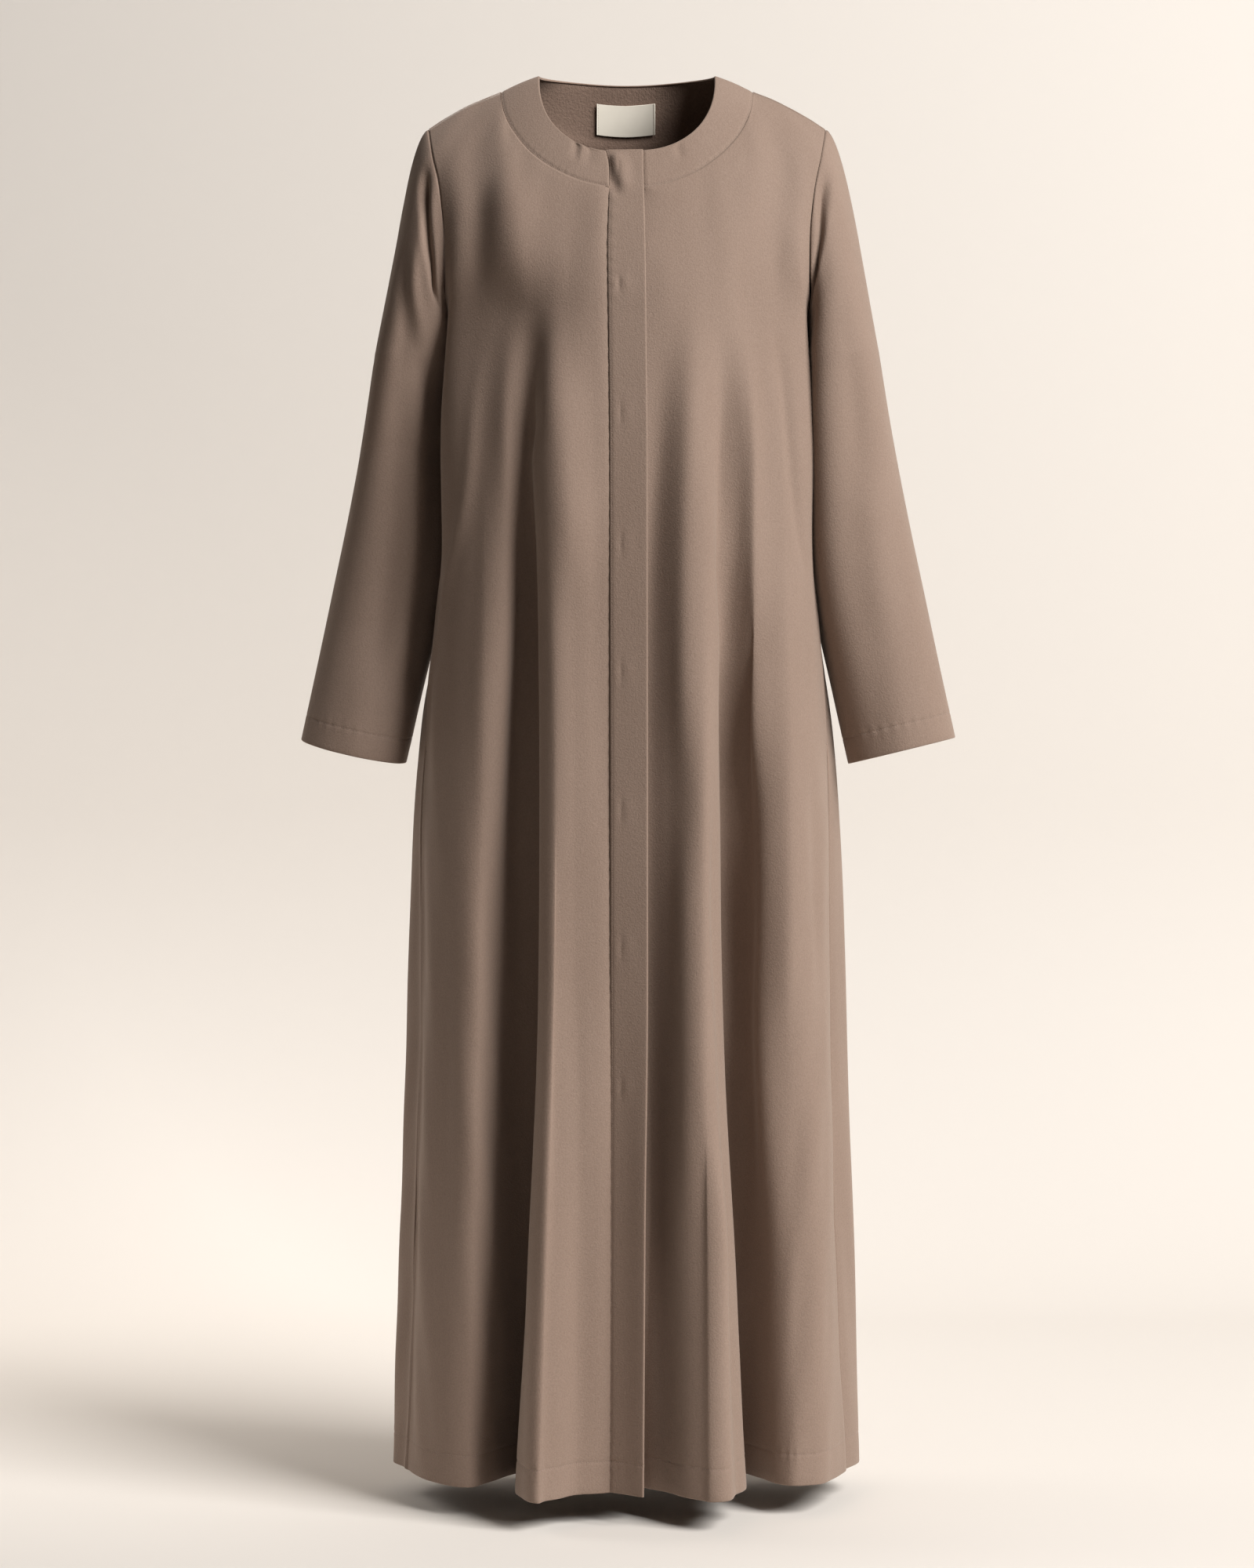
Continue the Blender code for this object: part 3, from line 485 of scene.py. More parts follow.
# Unit normals: the cross product of the slopes across and down; a closed grid wraps round.
def outward(grid, flip, closed=False):
    if closed:
        grid = np.concatenate((grid[:, -1:], grid, grid[:, :1]), axis=1)
    down, across = np.gradient(grid, axis=0), np.gradient(grid, axis=1)
    normal = np.cross(across, down) * (-1 if flip else 1)
    normal /= np.linalg.norm(normal, axis=2, keepdims=True) + 1e-12
    return normal[:, 1:-1] if closed else normal


# Share along a path and distance from it, for every point of a plane: the nearest foot of a
# perpendicular on any of the path's straight steps.
def nearPath(where, path):
    flat = where.reshape(-1, 1, 2)
    start, step = path[:-1], np.diff(path, axis=0)
    square = (step ** 2).sum(1) + 1e-9
    t = np.clip(((flat - start) * step).sum(2) / square, 0, 1)
    off = flat - start - t[..., None] * step
    gap = np.hypot(off[..., 0], off[..., 1])
    near = gap.argmin(1)
    pick = np.arange(len(flat))
    run = np.concatenate(([0.0], np.cumsum(np.sqrt(square))))
    share = (run[near] + t[pick, near] * np.sqrt(square[near])) / run[-1]
    return share.reshape(where.shape[:-1]), gap[pick, near].reshape(where.shape[:-1])


runOn = 60.0  # a crease that doesn't fade at its end runs straight on by this, past the cloth's edge


# Soft crease: its height times a bell of the distance from its path, faded towards both ends. The
# bell's width runs from its first to its second value.
def crease(where, path, width, height, fade):
    smooth = through(np.array(path, float), [8] * (len(path) - 1))
    length = np.linalg.norm(np.diff(smooth, axis=0), axis=1)
    more = 0 if fade[1] else runOn
    if more:
        smooth = np.concatenate((smooth, smooth[-1:] + (smooth[-1:] - smooth[-2:-1]) * more / length[-1]))
    share, gap = nearPath(where, smooth)
    share = np.minimum(share * (1 + more / length.sum()), 1)
    reach = width[0] + (width[1] - width[0]) * share
    rise = ease((share + 1e-6) / (fade[0] + 1e-6)) * ease((1 - share + 1e-6) / (fade[1] + 1e-6))
    return height * np.exp(-(gap / reach) ** 2) * rise


# Sum of the creases in a table whose rows start with a name.
def creases(where, rows):
    total = np.zeros(where.shape[:-1])
    for row in rows:
        total += crease(where, *row[1:])
    return total


# Cloth rounded where the rows' bells say: each column eased towards its two neighbours.
def rounded(grid, where, rows, passes=60):
    share = np.clip(creases(where, rows), 0, 1).T[1:-1, :, None]
    columns = grid.swapaxes(0, 1)
    for _ in range(passes):
        columns = evened(columns, share)
    return columns.swapaxes(0, 1)


# Cloth's own flat measure: arc length across from a column, and height above the mount.
def flatMeasure(grid, start=0):
    across = runDown(grid.swapaxes(0, 1)).T
    return np.stack((across - across[:, start:start + 1], grid[..., 2]), axis=-1)


# Texture places in metres: arc length across and arc length down.
def weavePlaces(grid, start=0):
    return np.stack((flatMeasure(grid, start)[..., 0], -runDown(grid)), axis=-1) * 0.001


lipAngles = (0.6, 1.2)


# Both faces of a wall run on over a half-round lip at one edge: rows at angles of a quarter circle,
# reaching out by its sine and in by one less its cosine.
def lip(outer, inner, edge):
    out, back = toLast(outer, edge), toLast(inner, edge)
    wall = out[-1] - back[-1]
    half = np.linalg.norm(wall, axis=1, keepdims=True) / 2
    face = wall / (2 * half)
    reach = out[-1] - out[-2]
    reach = reach - face * np.sum(reach * face, axis=1, keepdims=True)
    reach = reach / (np.linalg.norm(reach, axis=1, keepdims=True) + 1e-12)
    lastOut, lastBack = out[-1], back[-1]
    for angle in lipAngles:
        rise, fall = reach * half * math.sin(angle), face * half * (1 - math.cos(angle))
        out = np.concatenate((out, (lastOut + rise - fall)[None]))
        back = np.concatenate((back, (lastBack + rise + fall)[None]))
    return fromLast(out, edge), fromLast(back, edge)


# An object in the scene from its data.
def placed(name, data):
    item = bpy.data.objects.new(name, data)
    bpy.context.scene.collection.objects.link(item)
    return item


# One mesh object from vertices in millimetres, a list of faces and a texture place for every vertex.
def pieceFrom(name, vertices, faces, places, material):
    mesh = bpy.data.meshes.new(name)
    mesh.from_pydata((vertices * 0.001).tolist(), [], faces)
    mesh.polygons.foreach_set("use_smooth", np.ones(len(mesh.polygons), bool))
    if places is not None:
        corner = np.empty(len(mesh.loops), int)
        mesh.loops.foreach_get("vertex_index", corner)
        mesh.uv_layers.new(name="weave").data.foreach_set("uv", places.reshape(-1, 2)[corner].ravel())
    mesh.materials.append(material)
    mesh.update()
    return placed(name, mesh)


# Closed cloth between an outer and an inner grid, with a rim round every free edge.
def cloth(name, outer, inner, material, flip=False, closed=False, lips=(), start=0):
    for edge in lips:
        outer, inner = lip(outer, inner, edge)
    places = weavePlaces(outer, start)
    rows, columns = outer.shape[:2]
    index = np.arange(rows * columns).reshape(rows, columns)
    if closed:
        index = np.concatenate((index, index[:, :1]), axis=1)
    step = rows * columns
    a, b, c, d = index[:-1, :-1], index[1:, :-1], index[1:, 1:], index[:-1, 1:]
    faces = [np.stack((a, d, c, b), axis=-1).reshape(-1, 4), np.stack((a, b, c, d), axis=-1).reshape(-1, 4)]
    faces[1] = faces[1] + step
    rims = [(index[0, :-1], index[0, 1:]), (index[-1, 1:], index[-1, :-1])]
    if not closed:
        rims += [(index[1:, 0], index[:-1, 0]), (index[:-1, -1], index[1:, -1])]
    for begin, end in rims:
        faces.append(np.stack((begin, begin + step, end + step, end), axis=-1))
    faces = np.concatenate(faces)
    if flip:
        faces = faces[:, ::-1]
    vertices = np.concatenate((outer.reshape(-1, 3), inner.reshape(-1, 3)))
    return pieceFrom(name, vertices, faces.tolist(), np.concatenate((places, places)), material)


# Line on a grid at one distance from an edge, with the cloth's normal along it, read straight between
# the two nearest rows of each column.
def lineAt(grid, normals, edge, distance):
    lines, facing = toLast(grid, edge)[::-1], toLast(normals, edge)[::-1]
    run = runDown(lines)
    low = np.clip((run <= distance).sum(axis=0) - 1, 0, len(lines) - 2)
    pick = np.arange(lines.shape[1])
    share = ((distance - run[low, pick]) / (run[low + 1, pick] - run[low, pick] + 1e-9))[:, None]
    return (lines[low, pick] * (1 - share) + lines[low + 1, pick] * share,
            facing[low, pick] * (1 - share) + facing[low + 1, pick] * share)


# A stitch: thread thickness, share of the pitch that it covers, width to thickness, its rise and sink
# in thicknesses, and its girth from end to end.
stitchForm = {"thick": 0.36, "cover": 0.74, "wide": 1.25, "rise": 1.15, "sink": 0.75, "around": 6,
              "girth": (0.15, 0.85, 1, 1, 1, 0.85, 0.15)}


# Row of stitches along a line: each is a thread of round section that rises out of the cloth
# and dives back into it, as half a sine wave.
def stitches(name, path, facing, pitch, thick=stitchForm["thick"], cover=stitchForm["cover"], closed=False):
    if closed:
        path, facing = np.concatenate((path, path[:1])), np.concatenate((facing, facing[:1]))
    run = runDown(path)
    count = max(2, int(run[-1] / pitch))
    u = np.linspace(0, 1, len(stitchForm["girth"]))
    s = ((np.arange(count) + 0.5)[:, None] + (u - 0.5) * cover) * (run[-1] / count)
    at = np.stack([np.interp(s, run, path[:, i]) for i in range(3)], axis=-1)
    up = np.stack([np.interp(s, run, facing[:, i]) for i in range(3)], axis=-1)
    way = np.gradient(at, axis=1)
    way /= np.linalg.norm(way, axis=-1, keepdims=True)
    up -= way * np.sum(up * way, axis=-1, keepdims=True)
    up /= np.linalg.norm(up, axis=-1, keepdims=True)
    side = np.cross(way, up)
    rise = (np.sin(math.pi * u) * stitchForm["rise"] - stitchForm["sink"]) * thick
    at = at + up * rise[None, :, None]
    turn = np.linspace(0, 2 * math.pi, stitchForm["around"], endpoint=False)
    girth = thick * 0.5 * np.array(stitchForm["girth"])[None, :, None, None]
    ring = at[:, :, None] + girth * (side[:, :, None] * np.cos(turn)[:, None] * stitchForm["wide"]
                                     + up[:, :, None] * np.sin(turn)[:, None])
    index = np.arange(ring.size // 3).reshape(ring.shape[:3])
    after = np.roll(index, -1, axis=2)
    faces = np.stack((index[:, :-1], after[:, :-1], after[:, 1:], index[:, 1:]), axis=-1).reshape(-1, 4)
    places = np.stack((np.broadcast_to(s[:, :, None], index.shape),
                       np.broadcast_to(turn * thick, index.shape)), axis=-1) * 0.001
    for end, orders in ((0, ((0, 5, 4, 3), (0, 3, 2, 1))), (-1, ((0, 1, 2, 3), (0, 3, 4, 5)))):
        faces = np.concatenate([faces] + [index[:, end, order] for order in orders])
    item = pieceFrom(name, ring.reshape(-1, 3), faces.tolist(), places, sewingThread)
    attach(item, "root")
    return item


# Finishes: colours as linear red, green and blue; pebble, yarn, relief, twist and rib in metres.
crepeLook = {"colour": (0.280, 0.205, 0.163), "deep": (0.200, 0.138, 0.105), "pebble": 0.0017,
             "yarn": 0.00075, "rough": 0.80, "bump": 0.75, "relief": 0.0007, "sheen": 0.30}
# The facing is the same crepe as the outer cloth, with its colours darkened as painted shade for the shaded
# inside of the neck. The pocket bags take this darkened crepe too.
shadedFacingLook = {"colour": (0.265, 0.182, 0.140), "deep": (0.180, 0.118, 0.088), "pebble": 0.0024,
              "yarn": 0.0008, "rough": 0.82, "bump": 0.85, "relief": 0.0009, "sheen": 0.25}
threadLook = {"colour": (0.30, 0.215, 0.170), "shade": 0.72, "rough": 0.62, "twist": 0.0009, "bump": 0.4,
              "relief": 0.0001, "sheen": 0.3}
labelLook = {"colour": (0.93, 0.87, 0.755), "deep": (0.85, 0.79, 0.68), "rib": 0.0007, "cloud": 60.0,
             "rough": 0.40, "bump": 0.07, "relief": 0.0002, "sheen": 0.2}
buttonLook = {"colour": (0.130, 0.082, 0.055), "deep": (0.060, 0.036, 0.024), "cloud": 320.0, "rough": 0.32,
              "vary": 0.12}
waveCount = 0.32  # a wave texture's scale times the length of one of its bands


# Each named or numbered socket of a node gets its value, or the output that feeds it.
def fill(tree, item, sockets):
    for key, value in sockets.items():
        if isinstance(value, bpy.types.NodeSocket):
            tree.links.new(value, item.inputs[key])
        else:
            item.inputs[key].default_value = value


# A shader node with its own settings, then its sockets.
def node(tree, kind, sockets=None, **settings):
    item = tree.nodes.new("ShaderNode" + kind)
    for key, value in settings.items():
        setattr(item, key, value)
    fill(tree, item, sockets or {})
    return item


# Colour between a deep and a plain one, by a mask.
def between(tree, mask, deep, colour):
    return node(tree, "Mix", {"Factor": mask, "A": deep, "B": colour}, data_type="RGBA").outputs["Result"]


# Surface normal raised by a height that varies over the surface.
def raised(tree, height, look):
    sockets = {"Strength": look["bump"], "Distance": look["relief"], "Height": height}
    return node(tree, "Bump", sockets).outputs[0]


# One step of arithmetic between values and outputs.
def worked(tree, operation, *values):
    return node(tree, "Math", dict(enumerate(values)), operation=operation).outputs[0]


# The cloth's own texture places.
def weaveOf(tree):
    return node(tree, "UVMap", uv_map="weave").outputs[0]


# The places in the whole body.
def bodyOf(tree):
    return node(tree, "TexCoord").outputs["Object"]


# Shares of the crepe's height and tone, the tones between which its colour changes, and what its
# roughness gains by height and loses at the lowest.
crepeMix = {"pebble": 0.72, "yarn": 0.26, "streak": 0.16, "cross": 0.08, "tone": 0.75, "mottle": 0.35,
            "mottleScale": 9.0, "toneRange": (0.38, 0.92), "roughGain": 0.12, "roughLoss": 0.07}
crepeShine = {"Specular IOR Level": 0.22, "Sheen Roughness": 0.45, "Sheen Tint": (1.0, 0.86, 0.76, 1)}


# Group: pebbled crepe. Two sizes of noise through the body and faint streaks along both yarns give one
# height; the height with a slow mottle chooses between the two colours, and the height moves the
# roughness.
def crepeGroup(look):
    tree = bpy.data.node_groups.new("pebbled crepe", "ShaderNodeTree")
    inputs = ("Vector Place", "Vector Body", "Color Colour", "Color Deep", "Float Pebble", "Float Yarn",
              "Float Rough")
    for way, sockets in (("INPUT", inputs), ("OUTPUT", ("Color Colour", "Float Rough", "Float Height"))):
        for socket in sockets:
            kind, name = socket.split()
            tree.interface.new_socket(name, in_out=way, socket_type="NodeSocket" + kind)
    given = tree.nodes.new("NodeGroupInput").outputs

    # Noise on stretched places, at a given scale.
    def noise(scale, stretch, detail, rough, source="Body"):
        place = node(tree, "VectorMath", {0: given[source], 1: stretch}, operation="MULTIPLY")
        sockets = {"Detail": detail, "Roughness": rough, "Vector": place.outputs[0], "Scale": scale}
        return node(tree, "TexNoise", sockets).outputs["Fac"]

    # A scale is one over a size.
    def scaleFor(size):
        return worked(tree, "DIVIDE", 1.0, given[size])

    # first * share + second * part
    def mixed(first, share, second, part):
        return worked(tree, "MULTIPLY_ADD", second, part, worked(tree, "MULTIPLY", first, share))

    pebble = noise(scaleFor("Pebble"), (1, 1, 1), 2.0, 0.55)
    yarn = noise(scaleFor("Yarn"), (1, 1, 1), 1.0, 0.5)
    streak = noise(scaleFor("Yarn"), (0.8, 0.045, 1), 1.5, 0.5, "Place")
    cross = noise(scaleFor("Yarn"), (0.06, 0.9, 1), 1.0, 0.5, "Place")
    mottle = noise(look["mottleScale"], (1.6, 1.6, 0.5), 2.0, 0.5)
    height = mixed(pebble, look["pebble"], yarn, look["yarn"])
    height = mixed(height, 1.0, streak, look["streak"])
    height = mixed(height, 1.0, cross, look["cross"])
    tone = mixed(height, look["tone"], mottle, look["mottle"])
    low, high = look["toneRange"]
    mask = node(tree, "MapRange", {"From Min": low, "From Max": high, "Value": tone}).outputs[0]
    least = worked(tree, "SUBTRACT", given["Rough"], look["roughLoss"])
    rough = worked(tree, "MULTIPLY_ADD", height, look["roughGain"], least)
    fill(tree, tree.nodes.new("NodeGroupOutput"), {
        "Colour": between(tree, mask, given["Deep"], given["Colour"]), "Rough": rough, "Height": height})
    return tree


# A new material with its node tree and its shader.
def newMaterial(name):
    material = bpy.data.materials.new(name)
    material.use_nodes = True
    return material, material.node_tree, material.node_tree.nodes["Principled BSDF"]


# Crepe: the group's colour, roughness and height, with a faint warm sheen.
def crepeMaterial(name, look, group):
    material, tree, shader = newMaterial(name)
    grain = node(tree, "Group", {
        "Place": weaveOf(tree), "Body": bodyOf(tree), "Colour": (*look["colour"], 1),
        "Deep": (*look["deep"], 1), "Pebble": look["pebble"], "Yarn": look["yarn"], "Rough": look["rough"],
    }, node_tree=group).outputs
    fill(tree, shader, {
        "Base Color": grain["Colour"], "Roughness": grain["Rough"],
        "Normal": raised(tree, grain["Height"], look), "Sheen Weight": look["sheen"], **crepeShine})
    return material


# Sewing thread: a slanting wave along the stitch stands for its twist.
def threadMaterial(look):
    material, tree, shader = newMaterial("sewing thread")
    wave = node(tree, "TexWave", {"Scale": waveCount / look["twist"], "Vector": weaveOf(tree)},
                wave_type="BANDS", bands_direction="DIAGONAL").outputs["Fac"]
    deep = (*[look["shade"] * part for part in look["colour"]], 1)
    fill(tree, shader, {
        "Base Color": between(tree, wave, deep, (*look["colour"], 1)), "Roughness": look["rough"],
        "Normal": raised(tree, wave, look), "Sheen Weight": look["sheen"]})
    return material


# Woven label: fine ribs along its length, and a slow change between two ivories.
def labelMaterial(look):
    material, tree, shader = newMaterial("ivory satin")
    place = weaveOf(tree)
    rib = node(tree, "TexWave", {"Scale": waveCount / look["rib"], "Distortion": 0.6, "Vector": place},
               wave_type="BANDS", bands_direction="Y").outputs["Fac"]
    slow = node(tree, "TexNoise", {"Scale": look["cloud"], "Vector": place}).outputs["Fac"]
    fill(tree, shader, {
        "Base Color": between(tree, slow, (*look["deep"], 1), (*look["colour"], 1)),
        "Roughness": look["rough"], "Normal": raised(tree, rib, look), "Sheen Weight": look["sheen"]})
    return material


# Horn button: clouded brown, polished, from noise on the whole body's places.
def buttonMaterial(look):
    material, tree, shader = newMaterial("brown horn")
    sockets = {"Scale": look["cloud"], "Detail": 3.0, "Vector": bodyOf(tree)}
    cloud = node(tree, "TexNoise", sockets).outputs["Fac"]
    fill(tree, shader, {
        "Base Color": between(tree, cloud, (*look["deep"], 1), (*look["colour"], 1)),
        "Roughness": worked(tree, "MULTIPLY_ADD", cloud, look["vary"], look["rough"])})
    return material


crepe = crepeGroup(crepeMix)
taupeCrepe = crepeMaterial("taupe crepe", crepeLook, crepe)
# The facing's crepe: the outer crepe darkened as painted shade.
shadedFacingCrepe = crepeMaterial("facing crepe with painted shade", shadedFacingLook, crepe)
sewingThread = threadMaterial(threadLook)
ivorySatin = labelMaterial(labelLook)
brownHorn = buttonMaterial(buttonLook)
print("finishes made")


# Cloth pieces: their grids, those whose grid runs the other way round, and the distances of the finer
# lines from a seam, from a rolled edge and about the stitches of a turned-up hem or cuff.
grids, backArc = bodyGrids()
flipped = {"frontLeft", "bandLeft", "sleeveRight"}
seamFine = (0.5, 1.1, 1.9, 3.2)
rollFine = (0.25, 0.6, 1.0, 1.6, 2.6, 3.6)
turnedFine = np.array((-5, -2.2, -1, 0, 1, 2.2, 5))
# A seam's groove, the trough and waves at a row of stitches, and the slow waves of hanging cloth.
seamLook = {"deep": 0.9, "half": 1.0}
stitchLook = {"deep": 0.45, "half": 1.1, "wave": 11.0, "sway": 1.3, "swayOver": 37.0, "swell": 0.35,
              "swellReach": 7.0, "least": 0.6, "growOver": 53.0}
hangWaves = ((0.7, 17.0, 310.0, 1.0), (0.5, 9.3, -170.0, 2.1), (0.35, 5.9, 95.0, 0.7))
hangLook = {"length": 1400.0, "top": 0.5, "grown": 0.8}


# Depth of a narrow bell-shaped trough at a distance from its middle.
def trough(look, gap):
    return -look["deep"] * np.exp(-(gap / look["half"]) ** 2)


# Height of a sewn seam: a groove along each of the edges.
def seamGroove(grid, *edges):
    return sum((trough(seamLook, fromEdge(grid, edge)) for edge in edges), np.zeros(grid.shape[:2]))


# Height beside the stitches of a turned-up edge: a trough at one distance from the bottom edge, and
# about it small waves where the thread draws the cloth up.
def stitchTrough(grid, distance, wave=stitchLook["wave"], swell=stitchLook["swell"]):
    gap = fromEdge(grid, "bottom") - distance
    run = runDown(grid[-1])[None]
    look = stitchLook
    waves = np.sin(run * 2 * math.pi / wave + look["sway"] * np.sin(run / look["swayOver"]))
    waves = waves * (look["least"] + (1 - look["least"]) * np.sin(run / look["growOver"]))
    return trough(look, gap) + swell * waves * np.exp(-(gap / look["swellReach"]) ** 2)


# Slow unevenness of hanging cloth: three long sines across (height, length across, drift down, share
# of the shift), stronger further down.
def hang(where, swell, shift):
    s, z = where[..., 0], where[..., 1]
    drop = np.clip(-z / hangLook["length"], 0, 1)
    waves = sum(high * np.sin(s / across + z / down + turn * shift) for high, across, down, turn in hangWaves)
    return swell * (hangLook["top"] + hangLook["grown"] * drop) * waves


# A piece is put in the root body, and the node that it stands for is hidden.
def dress(piece, part):
    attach(piece, "root")
    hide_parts(part)
    return piece


# Opening of a side pocket: a smooth bump between its two ends, by height.
def pocketShare(z):
    span = np.clip((cut["slitTop"] - z) / (cut["slitTop"] - cut["slitBottom"]), 0, 1)
    return np.sin(math.pi * span) ** 0.6 * (span > 0) * (span < 1)


# Slow drift of the closing band's two edges: height, shift of the right and of the left edge.
closeDrift = np.array((
    (-76, -5.8, -2.4), (-82, -5.0, -2.2), (-91, -2.4, -2.1), (-100, -0.4, -2.1), (-109, 0.4, -2.1),
    (-135, 0.5, -1.4), (-172, -0.6, -0.5), (-190, -1.0, -0.2), (-310, 0.7, 1.0), (-383, 1.2, 1.7),
    (-700, 1.7, 1.9), (-1032, 1.9, 1.8), (-1420, 0.5, -0.4)))
driftReach = 25.0


# Drift at heights z of the closing band's right edge (side 1) or left edge (side 2), straight between
# the rows.
def driftAt(z, side):
    return np.interp(-z, -closeDrift[:, 0], closeDrift[:, side])


# Sideways shift of the right front and its neck band, whose first edge follows the closing band's.
def edgeDrift(grid):
    return driftAt(grid[..., 2], 1) * np.exp(-(fromEdge(grid, "first") / driftReach) ** 2)


# Creases: name, path of (arc across from the piece's own start, height), width at both ends,
# height, and share faded in at each end.
frontRightCreases = (
    ("valley under the bust", ((81, -237), (82, -296), (84, -350), (94, -411)),
     (15, 15), -6.5, (0.4, 0.3)),
    ("ridge over the hollow", ((67, -242), (61, -297), (55, -352), (47, -476), (46, -569)),
     (26, 24), 12, (0.4, 0.4)),
    ("fill outside the hollow", ((105, -235), (120, -380), (156, -528), (182, -645), (205, -762),
                                 (235, -879)),
     (15, 18), 14, (0.3, 0.45)),
    ("crest let down", ((57, -560), (58, -723), (60, -877), (66, -1031), (72, -1160), (82, -1257),
                        (90, -1395)),
     (11, 20), -8, (0.45, 0)),
    ("fold front filled", ((23, -862), (24, -954), (26, -1032), (27, -1263), (29, -1405)),
     (17, 22), 4, (0.35, 0)),
    ("dip beside the band", ((14, -383), (14, -568), (13, -723), (12, -839)),
     (8, 9), -1.8, (0.3, 0.3)),
    ("side crease", ((139, -267), (150, -331), (170, -425), (225, -525), (288, -627), (306, -687)),
     (9, 6), 2.4, (0.3, 0.15)),
    ("shoulder ridge", ((196, -82), (166, -173), (159, -228)),
     (12, 14), 0.5, (0.35, 0.35)),
    ("shoulder valley", ((160, -105), (143, -174), (143, -241)),
     (16, 16), -1.8, (0.4, 0.4)),
    ("chest fill", ((125, -136), (116, -192), (118, -254)),
     (20, 20), 1.6, (0.4, 0.4)),
    ("low side valley", ((276, -817), (307, -958), (346, -1099), (395, -1256)),
     (15, 17), -3.4, (0.3, 0.35)),
    ("chest turned", ((116, -90), (112, -150), (106, -200), (98, -260)),
     (42, 40), 8, (0.35, 0.4)),
)
frontLeftCreases = (
    ("valley beside the band", ((26, -196), (23, -298), (18, -360), (12, -445), (7, -529), (5, -645),
                                (5, -762), (5, -878), (3, -1033), (1, -1188), (0, -1330)),
     (16, 22), -10, (0.3, 0.2)),
    ("first ridge", ((52, -227), (49, -297), (45, -414), (43, -568), (44, -684), (48, -761)),
     (15, 17), 7, (0.3, 0.3)),
    ("second valley", ((84, -240), (87, -335), (89, -428), (99, -528), (116, -613)),
     (15, 16), -13, (0.45, 0.3)),
    ("second valley lower", ((98, -481), (107, -567), (120, -684), (134, -762), (162, -880), (192, -1000)),
     (13, 15), -18, (0.3, 0.35)),
    ("second ridge", ((105, -232), (108, -294), (114, -411), (127, -504), (142, -590), (161, -676),
                      (180, -770)),
     (23, 26), 18, (0.35, 0.3)),
    ("second ridge lower", ((146, -560), (166, -684), (183, -770), (221, -919), (265, -1075), (306, -1232)),
     (20, 19), 13, (0.2, 0.4)),
    ("outer crest let down", ((228, -840), (257, -941), (283, -1034), (336, -1228), (383, -1407)),
     (20, 28), -6, (0.4, 0)),
    ("outer shallow valley", ((222, -676), (239, -762), (278, -880), (305, -958)),
     (9, 10), -2.2, (0.3, 0.3)),
    ("raised outside", ((299, -958), (340, -1114), (385, -1271), (426, -1412)),
     (14, 16), 3, (0.4, 0)),
    ("low crest moved out", ((88, -1034), (98, -1139), (104, -1261), (112, -1401)),
     (13, 15), 9, (0.4, 0)),
    ("low crest let down", ((66, -980), (72, -1106), (80, -1258), (88, -1397)),
     (15, 20), -9, (0.4, 0)),
    ("low ridge by the valley", ((44, -723), (47, -877), (53, -1031), (61, -1183)),
     (14, 14), 4, (0.3, 0.3)),
    ("fold wall drawn in", ((78, -700), (92, -877), (104, -1000), (112, -1100), (130, -1258),
                            (150, -1397)),
     (11, 18), -8, (0.3, 0)),
    ("side crease", ((144, -252), (148, -292), (165, -409), (182, -479), (204, -530)),
     (10, 5), -2.8, (0.25, 0.2)),
)
# Where folds are rounded: rows of the same kind, whose height is the share of the easing.
frontRightRounds = (
    ("round fold", ((64, -900), (68, -1034), (76, -1160), (84, -1257), (92, -1395)),
     (22, 22), 1, (0.4, 0)),
)
frontLeftRounds = (
    ("round second fold", ((124, -254), (126, -316), (131, -410), (139, -504), (152, -590)),
     (22, 22), 1, (0.25, 0.25)),
    ("round outer fold", ((236, -879), (260, -956), (283, -1034), (315, -1151), (346, -1267),
                          (384, -1406)),
     (24, 24), 1, (0.4, 0)),
)
backCreases = (
    ("fold from the right blade", ((-118, -330), (-126, -520), (-140, -760), (-160, -1020), (-186, -1290)),
     (16, 24), 7, (0.35, 0.2)),
    ("hollow beside it", ((-78, -380), (-84, -560), (-92, -800), (-104, -1060), (-118, -1300)),
     (15, 22), -6.5, (0.35, 0.25)),
    ("middle fold", ((-22, -420), (-26, -640), (-30, -880), (-38, -1120), (-44, -1330)),
     (15, 21), 5.5, (0.4, 0.2)),
    ("middle hollow", ((30, -360), (34, -560), (40, -800), (50, -1060), (58, -1310)),
     (16, 23), -6, (0.35, 0.25)),
    ("fold from the left blade", ((92, -340), (98, -540), (110, -780), (128, -1040), (150, -1320)),
     (16, 24), 7.5, (0.35, 0.2)),
    ("left hollow", ((142, -420), (150, -640), (164, -880), (186, -1120), (208, -1330)),
     (14, 20), -5, (0.35, 0.25)),
    ("sway below the neck", ((-66, -150), (0, -176), (62, -148)),
     (18, 18), -1.8, (0.4, 0.4)),
    ("right armhole crease", ((-176, -180), (-158, -250), (-150, -330)),
     (11, 14), -2.6, (0.35, 0.4)),
    ("left armhole crease", ((182, -176), (162, -246), (154, -322)),
     (11, 13), -2.2, (0.35, 0.4)),
)
sleeveLeftCreases = (
    ("armhole crease", ((41, -95), (88, -141), (113, -171), (170, -219), (206, -241)),
     (6.5, 5), -8, (0.25, 0.3)),
    ("inner side squared", ((129, -211), (112, -289), (118, -407), (129, -524), (134, -635), (138, -722)),
     (18, 26), 14, (0.3, 0.5)),
    ("outer soft ridge", ((78, -376), (83, -486), (89, -588)),
     (16, 18), 2, (0.4, 0.3)),
    ("middle let down", ((61, -202), (80, -290), (84, -376), (89, -454)),
     (22, 24), -5, (0.35, 0.4)),
    ("fold behind the elbow", ((306, -320), (298, -430), (288, -560), (280, -660)),
     (13, 17), 4.5, (0.35, 0.3)),
    ("hollow behind the elbow", ((268, -300), (262, -410), (254, -540), (248, -640)),
     (12, 15), -4, (0.35, 0.3)),
)
